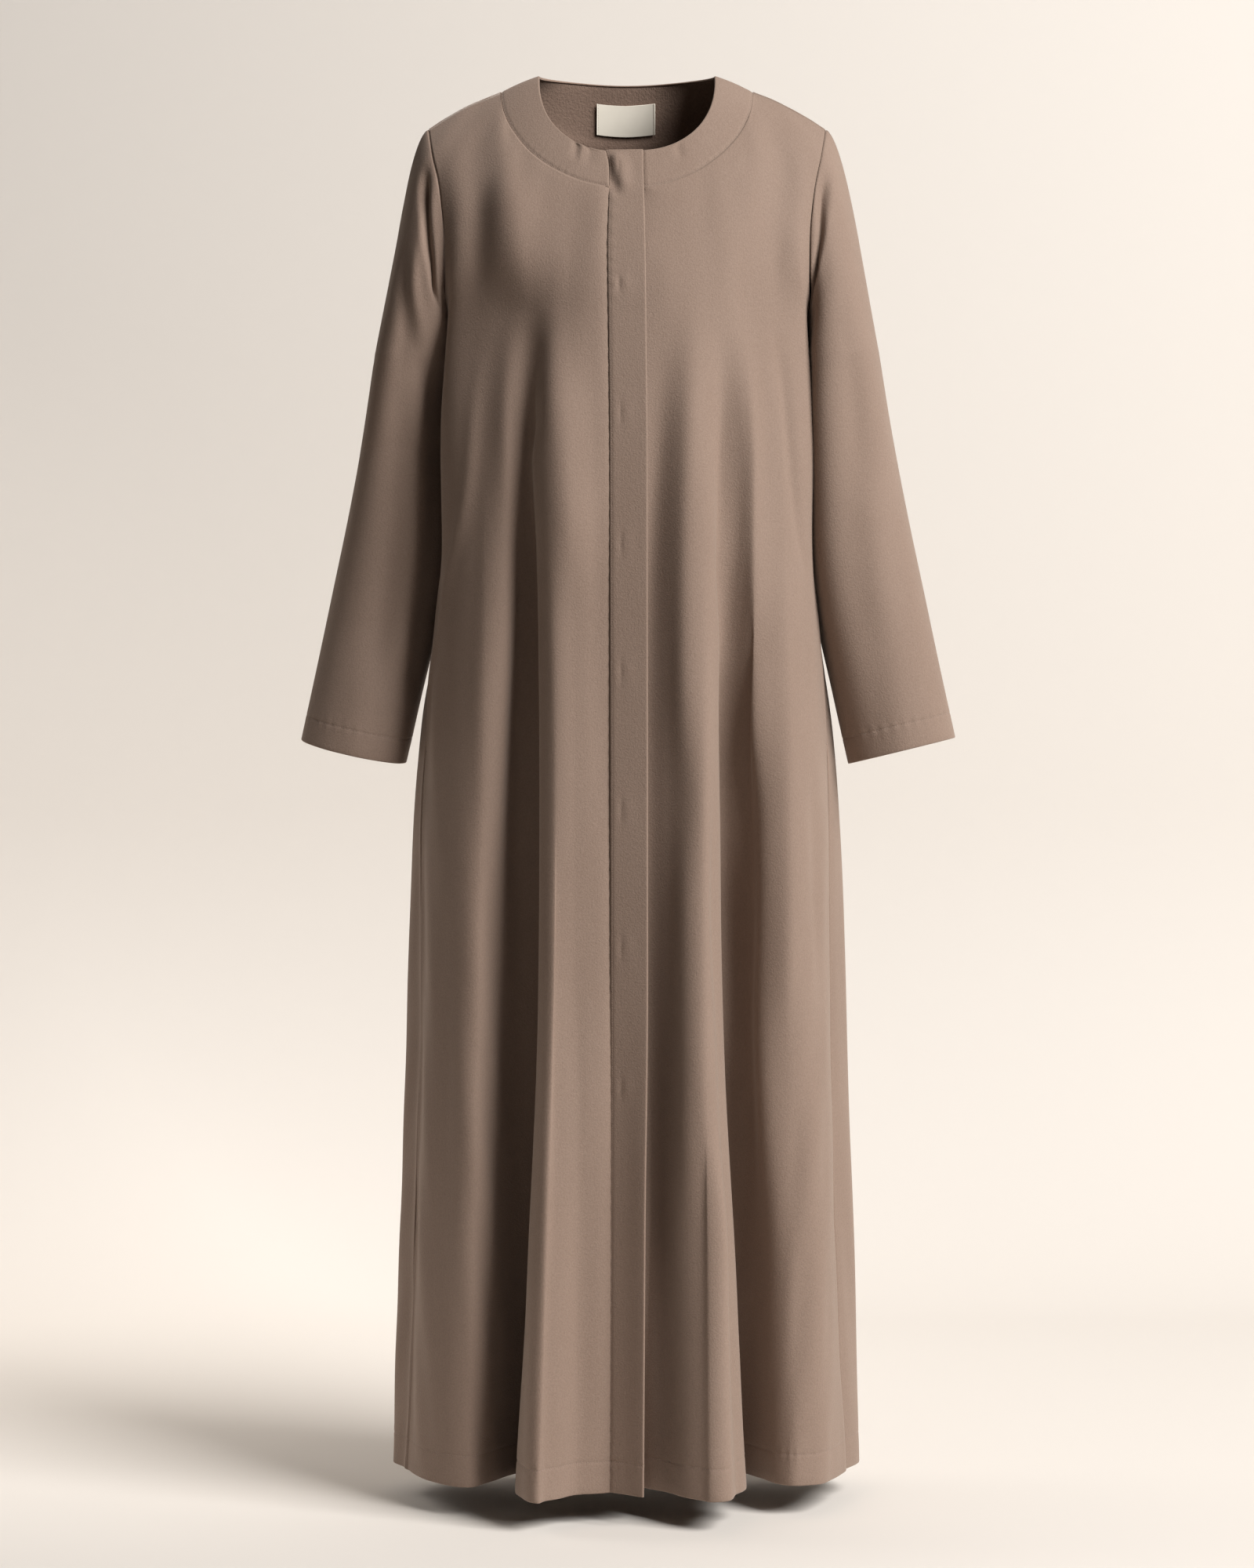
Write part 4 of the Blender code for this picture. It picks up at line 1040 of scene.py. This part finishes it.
sleeveRightCreases = (
    ("armhole crease", ((37, -91), (99, -171), (130, -207), (155, -245)),
     (6.5, 6.5), -9, (0.25, 0.15)),
    ("upper valley", ((41, -168), (83, -250), (103, -327)),
     (9, 12), -3.5, (0.4, 0.4)),
    ("upper ridge", ((74, -170), (100, -250), (113, -311)),
     (8, 10), 2.2, (0.4, 0.4)),
    ("inner side let back", ((138, -226), (124, -287), (151, -404), (165, -523), (174, -643)),
     (12, 16), -3, (0.2, 0.1)),
    ("inner crest raised", ((124, -234), (120, -287), (140, -404), (147, -524), (152, -627)),
     (14, 17), 4, (0.3, 0.15)),
    ("outer side let down", ((65, -225), (89, -289), (109, -405), (120, -524), (124, -643)),
     (20, 24), -6, (0.3, 0.2)),
    ("fold behind the elbow", ((306, -320), (298, -430), (288, -560), (280, -660)),
     (13, 17), 4.5, (0.35, 0.3)),
    ("hollow behind the elbow", ((268, -300), (262, -410), (254, -540), (248, -640)),
     (12, 15), -4, (0.35, 0.3)),
)

surfaces = {}  # their outer grids and normals


# The first rows run close beside a bent seam, so they borrow the directions of the row below.
def steadyTop(normals, closed):
    if not closed:
        normals[:2] = normals[2]
    return normals


# How far the right front's edge runs on under the closing band, how far it lies back there, and the
# reach of both.
under = {"on": 4.0, "onReach": 4.0, "back": 3.2, "backReach": 3.5}
panelLook = {"turned": 0.9, "held": 12.0}  # added thickness of a turned-up edge; crease-free top


# A big piece: its grid with finer lines at the seam edges and about the stitches that lie deep above
# the hem, then grooves, creases and hang along its normals; its wall is thicker where it is turned up.
def panel(name, part, edges, deep, creaseRows, rounds=(), extra=None, start=0, lips=("bottom",), swell=0.5,
          shift=0.0):
    grid = grids[name]
    closed = name.startswith("sleeve")
    for edge in edges:
        grid = crowd(grid, edge, seamFine)
    grid = crowd(grid, "bottom", deep + turnedFine)
    if name == "frontRight":
        gap = fromEdge(grid, "first")
        grid[..., 0] += edgeDrift(grid) + under["on"] * np.exp(-(gap / under["onReach"]) ** 2)
        grid[..., 1] += under["back"] * np.exp(-(gap / under["backReach"]) ** 2)
    flip = name in flipped
    where = flatMeasure(grid, start)
    if rounds:
        grid = rounded(grid, where, rounds)
    normals = steadyTop(outward(grid, flip, closed), closed)
    held = 1 if closed else ease(fromEdge(grid, "top") / panelLook["held"])
    height = seamGroove(grid, *edges) + creases(where, creaseRows) * held + hang(where, swell, shift)
    height += stitchTrough(grid, deep)
    if extra:
        height += extra(grid)
    grid = grid + normals * height[..., None]
    normals = steadyTop(outward(grid, flip, closed), closed)
    wall = np.full(len(grid), cut["cloth"])
    wall[fromEdge(grid, "bottom").mean(axis=1) < deep] += panelLook["turned"]
    inner = grid - normals * wall[:, None, None]
    dress(cloth(name + "Cloth", grid, inner, taupeCrepe, flip, closed, lips, start), part)
    surfaces[name] = (grid, normals)


# Beside the side seams: rise and reach of each form, the height from which it grows, and over how much.
sideLook = {"pocket": 1.6, "pocketReach": 9.0, "ridge": 1.8, "valley": -2.2, "reach": 6.5, "from": -640,
            "over": 150, "flare": 3.0, "flareReach": 30.0, "flareFrom": -980, "flareOver": 350}


# The form beside a piece's side seams, whose edges are named; sign turns the pocket's part in or out.
def sideForm(look, sign, rightEdge, leftEdge):
    # Height: the pocket opening lifts, a ridge runs down the right seam and a valley down the left, and
    # the cloth by the right seam swells out towards the hem; each is a bell of the distance from a seam.
    def height(grid):
        z = grid[..., 2]
        low = ease((look["from"] - z) / look["over"])
        total = 0
        for edge, rise in ((rightEdge, look["ridge"]), (leftEdge, look["valley"])):
            if edge:
                gap = fromEdge(grid, edge)
                total += sign * look["pocket"] * pocketShare(z) * np.exp(-(gap / look["pocketReach"]) ** 2)
                total += rise * low * np.exp(-(gap / look["reach"]) ** 2)
        if rightEdge:
            flare = look["flare"] * ease((look["flareFrom"] - z) / look["flareOver"])
            total += flare * np.exp(-(fromEdge(grid, rightEdge) / look["flareReach"]) ** 2)
        return total
    return height


# The right sleeve hangs turned outward and a little behind the body, but not where the armhole holds
# it. Turn in degrees and setback are given at depths below the shoulder; the rest place the tuck.
sleeveTurn = {"level": (150, 260, 380, 560, 740), "angle": (0, 14, 26, 30, 26), "behind": (0, 14, 26, 28, 22),
              "clear": 90.0, "tuck": 4.5, "tuckAt": -256.0, "tuckReach": 20.0}


# Each level is turned about its middle and stretched back to its own left and right ends, then set
# back; under the arm its inner side tucks in behind the body.
def turnedSleeve(look, grid):
    tube = grid[fine["cap"]:]
    middle = tube.mean(axis=1)
    z = grid[..., 2]

    # Values given for the tube's levels, read at every point's height.
    def byLevel(values):
        return np.interp(-z, -middle[:, 2], values)

    share = ease(fromEdge(grid, "top") / look["clear"])
    angle = np.radians(np.interp(-z, look["level"], look["angle"])) * share
    middleX, middleY = byLevel(middle[:, 0]), byLevel(middle[:, 1])
    x, y = grid[..., 0] - middleX, grid[..., 1] - middleY
    x, y = (middleX + x * np.cos(angle) + y * np.sin(angle), middleY + y * np.cos(angle) - x * np.sin(angle))
    before, after = tube[..., 0], x[fine["cap"]:]
    low, high = byLevel(after.min(1)), byLevel(after.max(1))
    keepLow, keepHigh = byLevel(before.min(1)), byLevel(before.max(1))
    kept = keepLow + (x - low) * (keepHigh - keepLow) / (high - low)
    behind = np.interp(-z, look["level"], look["behind"]) * share
    tuck = look["tuck"] * ease((grid[..., 0] - middleX) / 30.0)
    tuck = tuck * np.exp(-((z - look["tuckAt"]) / look["tuckReach"]) ** 2)
    return np.stack((x + (kept - x) * share + tuck, y + behind, z), axis=-1)


grids["sleeveRight"] = turnedSleeve(sleeveTurn, grids["sleeveRight"])
hem, cuff = cut["hemDeep"], cut["cuffDeep"]
leftStart = fine["underlap"]
panel("frontRight", "front_right", ("last", "first"), hem, frontRightCreases, frontRightRounds,
      sideForm(sideLook, 1, "last", None), swell=0.6)
panel("frontLeft", "front_left", ("last",), hem, frontLeftCreases, frontLeftRounds,
      sideForm(sideLook, 1, None, "last"), leftStart, ("bottom", "first"), swell=0.6, shift=1.7)
panel("back", "back", ("first", "last"), hem, backCreases, (), sideForm(sideLook, -1, "first", "last"),
      grids["back"].shape[1] // 2, swell=0.7, shift=3.1)
panel("sleeveLeft", "sleeve_left", ("top",), cuff, sleeveLeftCreases, shift=0.4)
panel("sleeveRight", "sleeve_right", ("top",), cuff, sleeveRightCreases, shift=2.2)
print("fronts, back and sleeves made")


# Neck bands: radius of the rolled edge, share of a seam's depth, place and size of the stitches' waves.
bandLook = {"fold": 1.3, "seam": 0.45, "stitch": 1.7, "wave": 9.0, "swell": 0.22}
bandRightCreases = (
    ("pucker near the band 1", ((15, 43), (20, 31), (26, 17)),
     (4, 5), -1.8, (0.1, 0.4)),
    ("pucker near the band 2", ((31, 40), (34, 31), (37, 19)),
     (4, 5), -1.5, (0.1, 0.4)),
    ("raised between puckers", ((23, 42), (27, 31), (31, 18)),
     (4, 4.5), 1, (0.1, 0.4)),
)
bandLeftCreases = (
    ("pucker", ((40, 38), (44, 28), (46, 18)),
     (3.4, 4), -1.3, (0.15, 0.4)),
)


# A band's edge rolls in over its facing: a quarter round by the distance from the neck edge.
def rollIn(grid, edge, reach):
    gap = np.clip(fromEdge(grid, edge) / reach, 0, 1)
    return -reach * (1 - np.sqrt(np.maximum(0, 1 - (1 - gap) ** 2)))


# A neck band: its grid with groove and stitches at the seam, listed puckers, and a rolled edge.
def neckPiece(look, name, part, edges, creaseRows=(), start=0, lips=("top",)):
    grid = grids[name]
    for edge in edges:
        grid = crowd(grid, edge, seamFine)
    grid = crowd(grid, "top", rollFine)
    if name == "bandRight":
        grid[..., 0] += edgeDrift(grid)
    flip = name in flipped
    normals = outward(grid, flip)
    where = np.stack((flatMeasure(grid, start)[..., 0], fromEdge(grid, "bottom")), axis=-1)
    height = look["seam"] * seamGroove(grid, "bottom", *edges) + creases(where, creaseRows)
    height += rollIn(grid, "top", look["fold"])
    height += stitchTrough(grid, look["stitch"], look["wave"], look["swell"])
    grid = grid + normals * height[..., None]
    normals = outward(grid, flip)
    inner = grid - normals * cut["cloth"]
    dress(cloth(name + "Cloth", grid, inner, taupeCrepe, flip, False, lips, start), part)
    surfaces[name] = (grid, normals)


neckPiece(bandLook, "bandRight", "neck_band_right", ("last", "first"), bandRightCreases)
neckPiece(bandLook, "bandLeft", "neck_band_left", ("last",), bandLeftCreases, leftStart, ("top", "first"))
neckPiece(bandLook, "bandBack", "neck_band_back", ("first", "last"), (), grids["bandBack"].shape[1] // 2)
print("neck bands made")


# Facing inside the back neck: its wall, the gap to the cloth before it and more of it over the seam,
# the rows of the back that it covers, and its two rows of stitches.
facing = {"wall": 1.0, "gap": 0.25, "overSeam": 1.0, "seamReach": 6.0, "rows": 4, "lowStitch": 3.0,
          "lowSink": 0.45, "underStitch": 3.2, "underSink": 0.3, "sinkReach": 1.1, "deepest": 0.75,
          "ripple": 0.25, "rippleReach": 4.5, "slow": 0.5, "fine": (0.8, 1.6, 2.3, 3.0, 3.7, 4.4, 6.0)}


# The facing follows the band and the top of the back from inside; its seen side sinks along two rows
# of stitches and in small and slow waves.
def neckFacing(look):
    base = np.concatenate((grids["bandBack"][:-1], grids["back"][:look["rows"], backArc]))
    base = crowd(base, "top", rollFine)
    run = fromEdge(base, "top")
    past = run - run[-look["rows"]]
    clear = cut["cloth"] + look["gap"] + look["overSeam"] * np.exp(-(past / look["seamReach"]) ** 2)
    far = base + outward(base, False) * (rollIn(base, "top", bandLook["fold"]) - clear)[..., None]
    far = crowd(far, "bottom", look["fine"])
    way = outward(far, False)
    low, high = fromEdge(far, "bottom"), fromEdge(far, "top")
    s = flatMeasure(far)[..., 0]
    sink = look["lowSink"] * np.exp(-((low - look["lowStitch"]) / look["sinkReach"]) ** 2)
    sink += look["underSink"] * np.exp(-((high - look["underStitch"]) / look["sinkReach"]) ** 2)
    sink += look["ripple"] * np.sin(s / 2.1 + np.sin(s / 11.0)) * np.exp(-(low / look["rippleReach"]) ** 2)
    sink += look["slow"] * np.sin(s / 13.0 + 0.6) * np.sin(high / 21.0)
    near = far - way * (look["wall"] - np.minimum(sink, look["deepest"]))[..., None]
    piece = cloth("neckFacingCloth", far, near, shadedFacingCrepe, False, False, ("bottom",), far.shape[1] // 2)
    dress(piece, "neck_facing")
    surfaces["facing"] = (near, -way)


neckFacing(facing)

# Label: sizes, its place down the band as a share and off the facing, the folded ends and their stitches.
label = {"width": 61.5, "height": 30.0, "wall": 0.8, "high": 0.31, "shift": -1.2, "off": 4.45, "hem": 2.4,
         "hemWall": 0.28, "stitch": 1.5, "sink": 0.38, "sinkReach": 0.55, "bow": 0.3, "wave": 0.35}


# The label hangs on the facing: flat, a little bowed, with its two ends folded under and sewn down.
def neckLabel(look):
    ends = np.array((0, 0.3, 0.7, 1.1, 1.5, 1.9, 2.3, 2.7, 3.2, 4.5))
    x = np.concatenate((ends, np.linspace(6, look["width"] - 6, 25), look["width"] - ends[::-1]))
    x = x - look["width"] / 2
    down = np.concatenate(((0, 0.01, 0.03), np.linspace(0.07, 0.93, 13), (0.97, 0.99, 1)))
    rows = []
    for step in look["high"] + down * look["height"] / 60.0:
        half = cut["neckHalf"] * (1 - step) + cut["bandHalf"] * step
        turn = np.degrees(np.arccos(np.abs(x) / half))
        rows.append([neckBack(t, np.sign(a)) * (1 - step) + bandBack(t, np.sign(a)) * step
                     for t, a in zip(turn, x)])
    grid = np.array(rows)
    grid[..., 0] = x + look["shift"]
    way = outward(grid, False)
    grid = grid - way * look["off"]
    gap = look["width"] / 2 - np.abs(x)
    swell = look["hemWall"] * ease((look["hem"] - gap) / 0.5)
    swell -= look["sink"] * np.exp(-((gap - look["stitch"]) / look["sinkReach"]) ** 2)
    across, level = x[None], 2 * down[:, None]
    swell = swell + look["wave"] * np.sin(across / 14.0 + level) - look["bow"] * (level - 1) ** 2
    near = grid - way * (look["wall"] + swell)[..., None]
    edges = ("top", "bottom", "first", "last")
    piece = cloth("neckLabelCloth", grid, near, ivorySatin, False, False, edges, len(x) // 2)
    dress(piece, "neck_label")
    surfaces["label"] = (near, -way)


neckLabel(label)
print("facing and label made")


# Closing band over the buttons: how far its free side leans back at depths below the mount, the
# levels where a button shows through, and each form there: height, place across, reach, place up,
# reach.
closing = {"wall": 1.8, "stitch": 1.9, "liftAt": (76, 130, 420, 760, 1100, 1420),
           "lift": (2.4, 2.7, 4.5, 9.0, 16.0, 21.0), "roll": 1.1, "wave": 0.25, "waveReach": 5.0,
           "hemSwell": 0.2,
           "buttons": (-106, -229, -357, -486, -612, -748, -883, -1021), "pitAt": -7.5,
           "pits": ((-0.75, 0, 1.8, 0, 6.5), (0.55, 7, 5.0, 0, 9.0), (0.30, -5, 3.0, -3, 8.0)),
           "across": (-18.3, -17.9, -17.4, -16.9, -16.4, -15.9, -15.3, -14, -12, -10, -8.5, -7.5, -6.5,
                      -5, -3, -1, 1, 3.5, 6, 8.5, 11, 13.5, 15.5, 16.8, 17.6, 18.0, 18.3)}
closingCreases = (
    ("fold at the top", ((-20, -93), (-16, -115), (-7, -142)),
     (5, 6), -3, (0.1, 0.4)),
    ("ridge at the top", ((-13, -91), (-6, -116), (0, -139)),
     (7, 8), 2.4, (0.1, 0.4)),
    ("edge turned up", ((21, -900), (21, -1100), (21, -1250), (21, -1415)),
     (17, 17), 4.6, (0.5, 0)),
)


# The opening's edge, from the neck to the hem.
def openingEdge():
    return np.concatenate((grids["bandRight"][:, 0], grids["frontRight"][1:, 0]))


# The band: its first column follows the right front's edge, and it leans back at the free side, which
# rolls in by a quarter round. Each button below shows as a small long pit with a swelling on either
# side of it.
def closingBand(look, creaseRows):
    edge = openingEdge()
    half = cut["closeHalf"]
    x = np.array(look["across"])
    share = ((x + half) / (2 * half))[None]
    lift = np.interp(-edge[:, 2], look["liftAt"], look["lift"])[:, None]
    grid = np.stack(np.broadcast_arrays(x[None], edge[:, 1:2] - lift * share, edge[:, 2:3]), axis=-1).copy()
    grid = crowd(grid, "bottom", cut["hemDeep"] + turnedFine)
    z = grid[..., 2]
    grid[..., 0] += driftAt(z, 1) * (1 - share) + driftAt(z, 2) * share
    way = outward(grid, True)
    gap = x[None] + half - look["stitch"]
    height = trough(seamLook, x[None] + half) + trough(stitchLook, gap) + np.zeros_like(z)
    height += look["wave"] * np.sin(z / 2.3 + np.sin(z / 17.0)) * np.exp(-(gap / look["waveReach"]) ** 2)
    rolled = np.clip((x[None] - half + look["roll"]) / look["roll"], 0, 1)
    height -= look["roll"] * (1 - np.sqrt(1 - rolled ** 2))
    for level in look["buttons"]:
        for rise, atX, reachX, atZ, reachZ in look["pits"]:
            off, up = x[None] - look["pitAt"] - atX, z - level - atZ
            height += rise * np.exp(-(off / reachX) ** 2 - (up / reachZ) ** 2)
    height += creases(grid[..., (0, 2)], creaseRows)
    height += stitchTrough(grid, cut["hemDeep"], swell=look["hemSwell"])
    grid = grid + way * height[..., None]
    way = outward(grid, True)
    inner = grid - way * look["wall"]
    piece = cloth("closingBandCloth", grid, inner, taupeCrepe, True, False, ("bottom", "last", "top"))
    dress(piece, "button_band")
    surfaces["closing"] = (grid, way)


closingBand(closing, closingCreases)


# Buttons beneath the band: radius, thickness, radius and depth of the dished middle, how far their
# middle lies behind the band, and the level of each.
button = {"radius": 5.5, "thick": 2.0, "dish": 3.6, "dishDeep": 0.5, "around": 40, "behind": 3.4,
          "levels": (-106, -236, -360, -490, -622, -757, -892, -1030)}


# One turned disc: a profile of radius and height swept round, with a raised rim and a dished middle.
def buttonDisc(look, name, centre, lean):
    r, h, dish, low = look["radius"], look["thick"] / 2, look["dish"], look["thick"] / 2 - look["dishDeep"]
    profile = np.array(((0, low), (1.0, low), (dish - 0.4, low + 0.05), (dish, h - 0.1), (r - 0.9, h),
                        (r - 0.3, h - 0.12), (r, h - 0.6), (r, 0.7 - h), (r - 0.5, 0.15 - h), (r - 1.6, -h),
                        (0, -h)))
    turn = np.linspace(0, 2 * math.pi, look["around"], endpoint=False)
    side = np.array((1.0, 0, 0))
    up = np.cross(lean, side)
    spokes = np.cos(turn)[:, None] * side + np.sin(turn)[:, None] * up
    ring = profile[1:-1, 0][:, None, None] * spokes + profile[1:-1, 1][:, None, None] * lean
    body = np.concatenate((ring.reshape(-1, 3), [lean * profile[0, 1]], [lean * profile[-1, 1]])) + centre
    index = np.arange(ring.size // 3).reshape(ring.shape[:2])
    after = np.roll(index, -1, axis=1)
    faces = np.stack((index[:-1], index[1:], after[1:], after[:-1]), axis=-1).reshape(-1, 4).tolist()
    faces += [[index.size, int(a), int(b)] for a, b in zip(index[0], after[0])]
    faces += [[index.size + 1, int(b), int(a)] for a, b in zip(index[-1], after[-1])]
    return pieceFrom(name, body, faces, None, brownHorn)


# Buttons lie behind the undented band at their own levels, along its own normal.
def buttons(look):
    edge = openingEdge()
    slope = np.gradient(edge, axis=0)
    for number, level in enumerate(look["levels"], 1):
        point, down = (np.array([0.0] + [np.interp(-level, -edge[:, 2], line[:, i]) for i in (1, 2)])
                       for line in (edge, slope))
        lean = np.cross(down, (1.0, 0, 0))
        lean /= np.linalg.norm(lean) * (1 if lean[1] < 0 else -1)
        disc = buttonDisc(look, f"button{number}Disc", point - lean * look["behind"], lean)
        dress(disc, f"button_{number}")


buttons(button)
print("closing band and buttons made")


# Pocket bags: heights between which they hang, and the columns of the front that they cover.
pocket = {"top": -500.0, "bottom": -790.0, "first": -60, "last": -5, "wall": 2.4, "gap": 0.5}


# Each bag follows the inside of its front from the side seam, with a rounded edge all round.
def pocketBag(look, front, part):
    grid, way = surfaces["front" + front]
    rows = np.flatnonzero((grid[:, -1, 2] < look["top"]) & (grid[:, -1, 2] > look["bottom"]))
    way = way[rows][:, look["first"]:look["last"]]
    patch = grid[rows][:, look["first"]:look["last"]] - way * (cut["cloth"] + look["gap"])
    piece = cloth(f"pocketBag{front}Cloth", patch, patch - way * look["wall"], shadedFacingCrepe,
                  "front" + front in flipped, False, ("top", "bottom", "first", "last"))
    dress(piece, part)


pocketBag(pocket, "Right", "pocket_bag_right")
pocketBag(pocket, "Left", "pocket_bag_left")
print("pocket bags made")


# Stitching: pitches, a finer thread for the label, and the length, thread and levels of the bars at
# the pockets.
sewing = {"pitch": 2.6, "bandPitch": 2.3, "edgePitch": 2.4, "labelPitch": 1.7, "labelThread": 0.3,
          "tack": 6.4, "tackThread": 1.1, "tackLevels": {"frontRight": -688.0, "frontLeft": -685.0}}
sewn = {}  # rows of stitches by the piece that they are on


# Stitches on a made piece, along the line at a distance from one of its edges.
def sew(on, name, edge, distance, pitch="pitch", **more):
    line = lineAt(*surfaces[on], edge, distance)
    sewn.setdefault(on, []).append(stitches(name, *line, sewing[pitch], **more))


for name in ("bandRight", "bandLeft", "bandBack"):
    sew(name, name + "Stitches", "bottom", bandLook["stitch"], "bandPitch")
for name in ("frontRight", "frontLeft", "back"):
    sew(name, name + "HemStitches", "bottom", cut["hemDeep"])
for name in ("sleeveLeft", "sleeveRight"):
    sew(name, name + "CuffStitches", "bottom", cut["cuffDeep"], closed=True)
sew("closing", "closingBandStitches", "first", closing["stitch"], "edgePitch")
sew("closing", "closingBandHemStitches", "bottom", cut["hemDeep"])
sew("facing", "facingStitches", "bottom", facing["lowStitch"])
sew("facing", "underStitches", "top", facing["underStitch"])
for side, edge in (("Right", "last"), ("Left", "first")):
    sew("label", "labelStitches" + side, edge, label["stitch"], "labelPitch", thick=sewing["labelThread"])
# Short thick bars across the seam where a pocket opening ends.
for name, level in sewing["tackLevels"].items():
    grid, way = surfaces[name]
    row = np.abs(grid[:, -1, 2] - level).argmin()
    near = np.flatnonzero(fromEdge(grid, "last")[row] <= sewing["tack"])
    sewn[name].append(stitches(name + "Tack", grid[row, near], way[row, near], sewing["tack"],
                               sewing["tackThread"], 1.0))
print("stitching made")

# Camera: distance before the mount and height in metres, lens and sensor in millimetres.
view = {"far": 3.5, "height": -0.7228, "lens": 78.75, "sensor": 36.0}
camera = bpy.data.cameras.new("camera")
camera.lens = view["lens"]
camera.sensor_width = view["sensor"]
camera.sensor_fit = "AUTO"
eye = placed("camera", camera)
eye.location = (0, -view["far"], view["height"])
eye.rotation_euler = (math.pi / 2, 0, 0)
bpy.context.scene.camera = eye

# Floor and backdrop, in metres.
stageLook = {"floor": -1.452, "front": -1.6, "back": 1.15, "bend": 0.7, "high": 1.9, "half": 3.2,
             "across": 9, "colour": (0.71, 0.67, 0.625), "rough": 0.9}


# One sheet: flat floor, a quarter round and a wall, swept straight across. From behind it is clear, so
# that the back of the cloak can be seen.
def backdrop(look):
    angle = np.linspace(0, math.pi / 2, 25)
    wall = look["back"] + look["bend"]
    y = np.concatenate(([look["front"]], look["back"] + look["bend"] * np.sin(angle), [wall]))
    z = np.concatenate(([look["floor"]], look["floor"] + look["bend"] * (1 - np.cos(angle)), [look["high"]]))
    x = np.linspace(-look["half"], look["half"], look["across"])
    points = np.stack(np.broadcast_arrays(x[None], y[:, None], z[:, None]), axis=-1)
    index = np.arange(points.size // 3).reshape(points.shape[:2])
    faces = np.stack((index[:-1, :-1], index[:-1, 1:], index[1:, 1:], index[1:, :-1]), axis=-1).reshape(-1, 4)
    material, tree, shader = newMaterial("pale backdrop")
    fill(tree, shader, {"Base Color": (*look["colour"], 1), "Roughness": look["rough"]})
    behind = node(tree, "NewGeometry").outputs["Backfacing"]
    clear = node(tree, "BsdfTransparent").outputs[0]
    choose = node(tree, "MixShader", {0: behind, 1: shader.outputs[0], 2: clear})
    fill(tree, tree.nodes["Material Output"], {"Surface": choose.outputs[0]})
    pieceFrom("backdrop", points.reshape(-1, 3) * 1000, faces.tolist(), points[..., :2], material)


# Lamps: place, aim and size in metres, power, colour and spread.
lamps = {
    "key": ((3.5, -2.94, 2.65), (0, 0, -0.6), (2.9, 2.9), 562.0, (1.0, 0.985, 0.97), math.pi),
    "floorFill": ((-1.9, 0.9, -0.3), (-0.95, 0.9, -1.45), (1.6, 1.6), 8.0, (1.0, 0.95, 0.90), 1.3),
}
room = {"Color": (1.0, 0.86, 0.73, 1), "Strength": 0.055}


# A rectangular lamp at its place, turned to its aim.
def lamp(name, place, aim, size, power, colour, spread):
    light = bpy.data.lights.new(name, "AREA")
    light.shape, light.size, light.size_y = "RECTANGLE", size[0], size[1]
    light.energy, light.color, light.spread = power, colour, spread
    item = placed(name, light)
    item.location = place
    item.rotation_euler = (Vector(aim) - Vector(place)).to_track_quat("-Z", "Y").to_euler()


backdrop(stageLook)
for name, values in lamps.items():
    lamp(name, *values)
world = bpy.data.worlds.new("room")
world.use_nodes = True
fill(world.node_tree, world.node_tree.nodes["Background"], room)
bpy.context.scene.world = world
bpy.context.scene.view_settings.view_transform = "Standard"
print("camera, backdrop and light made")
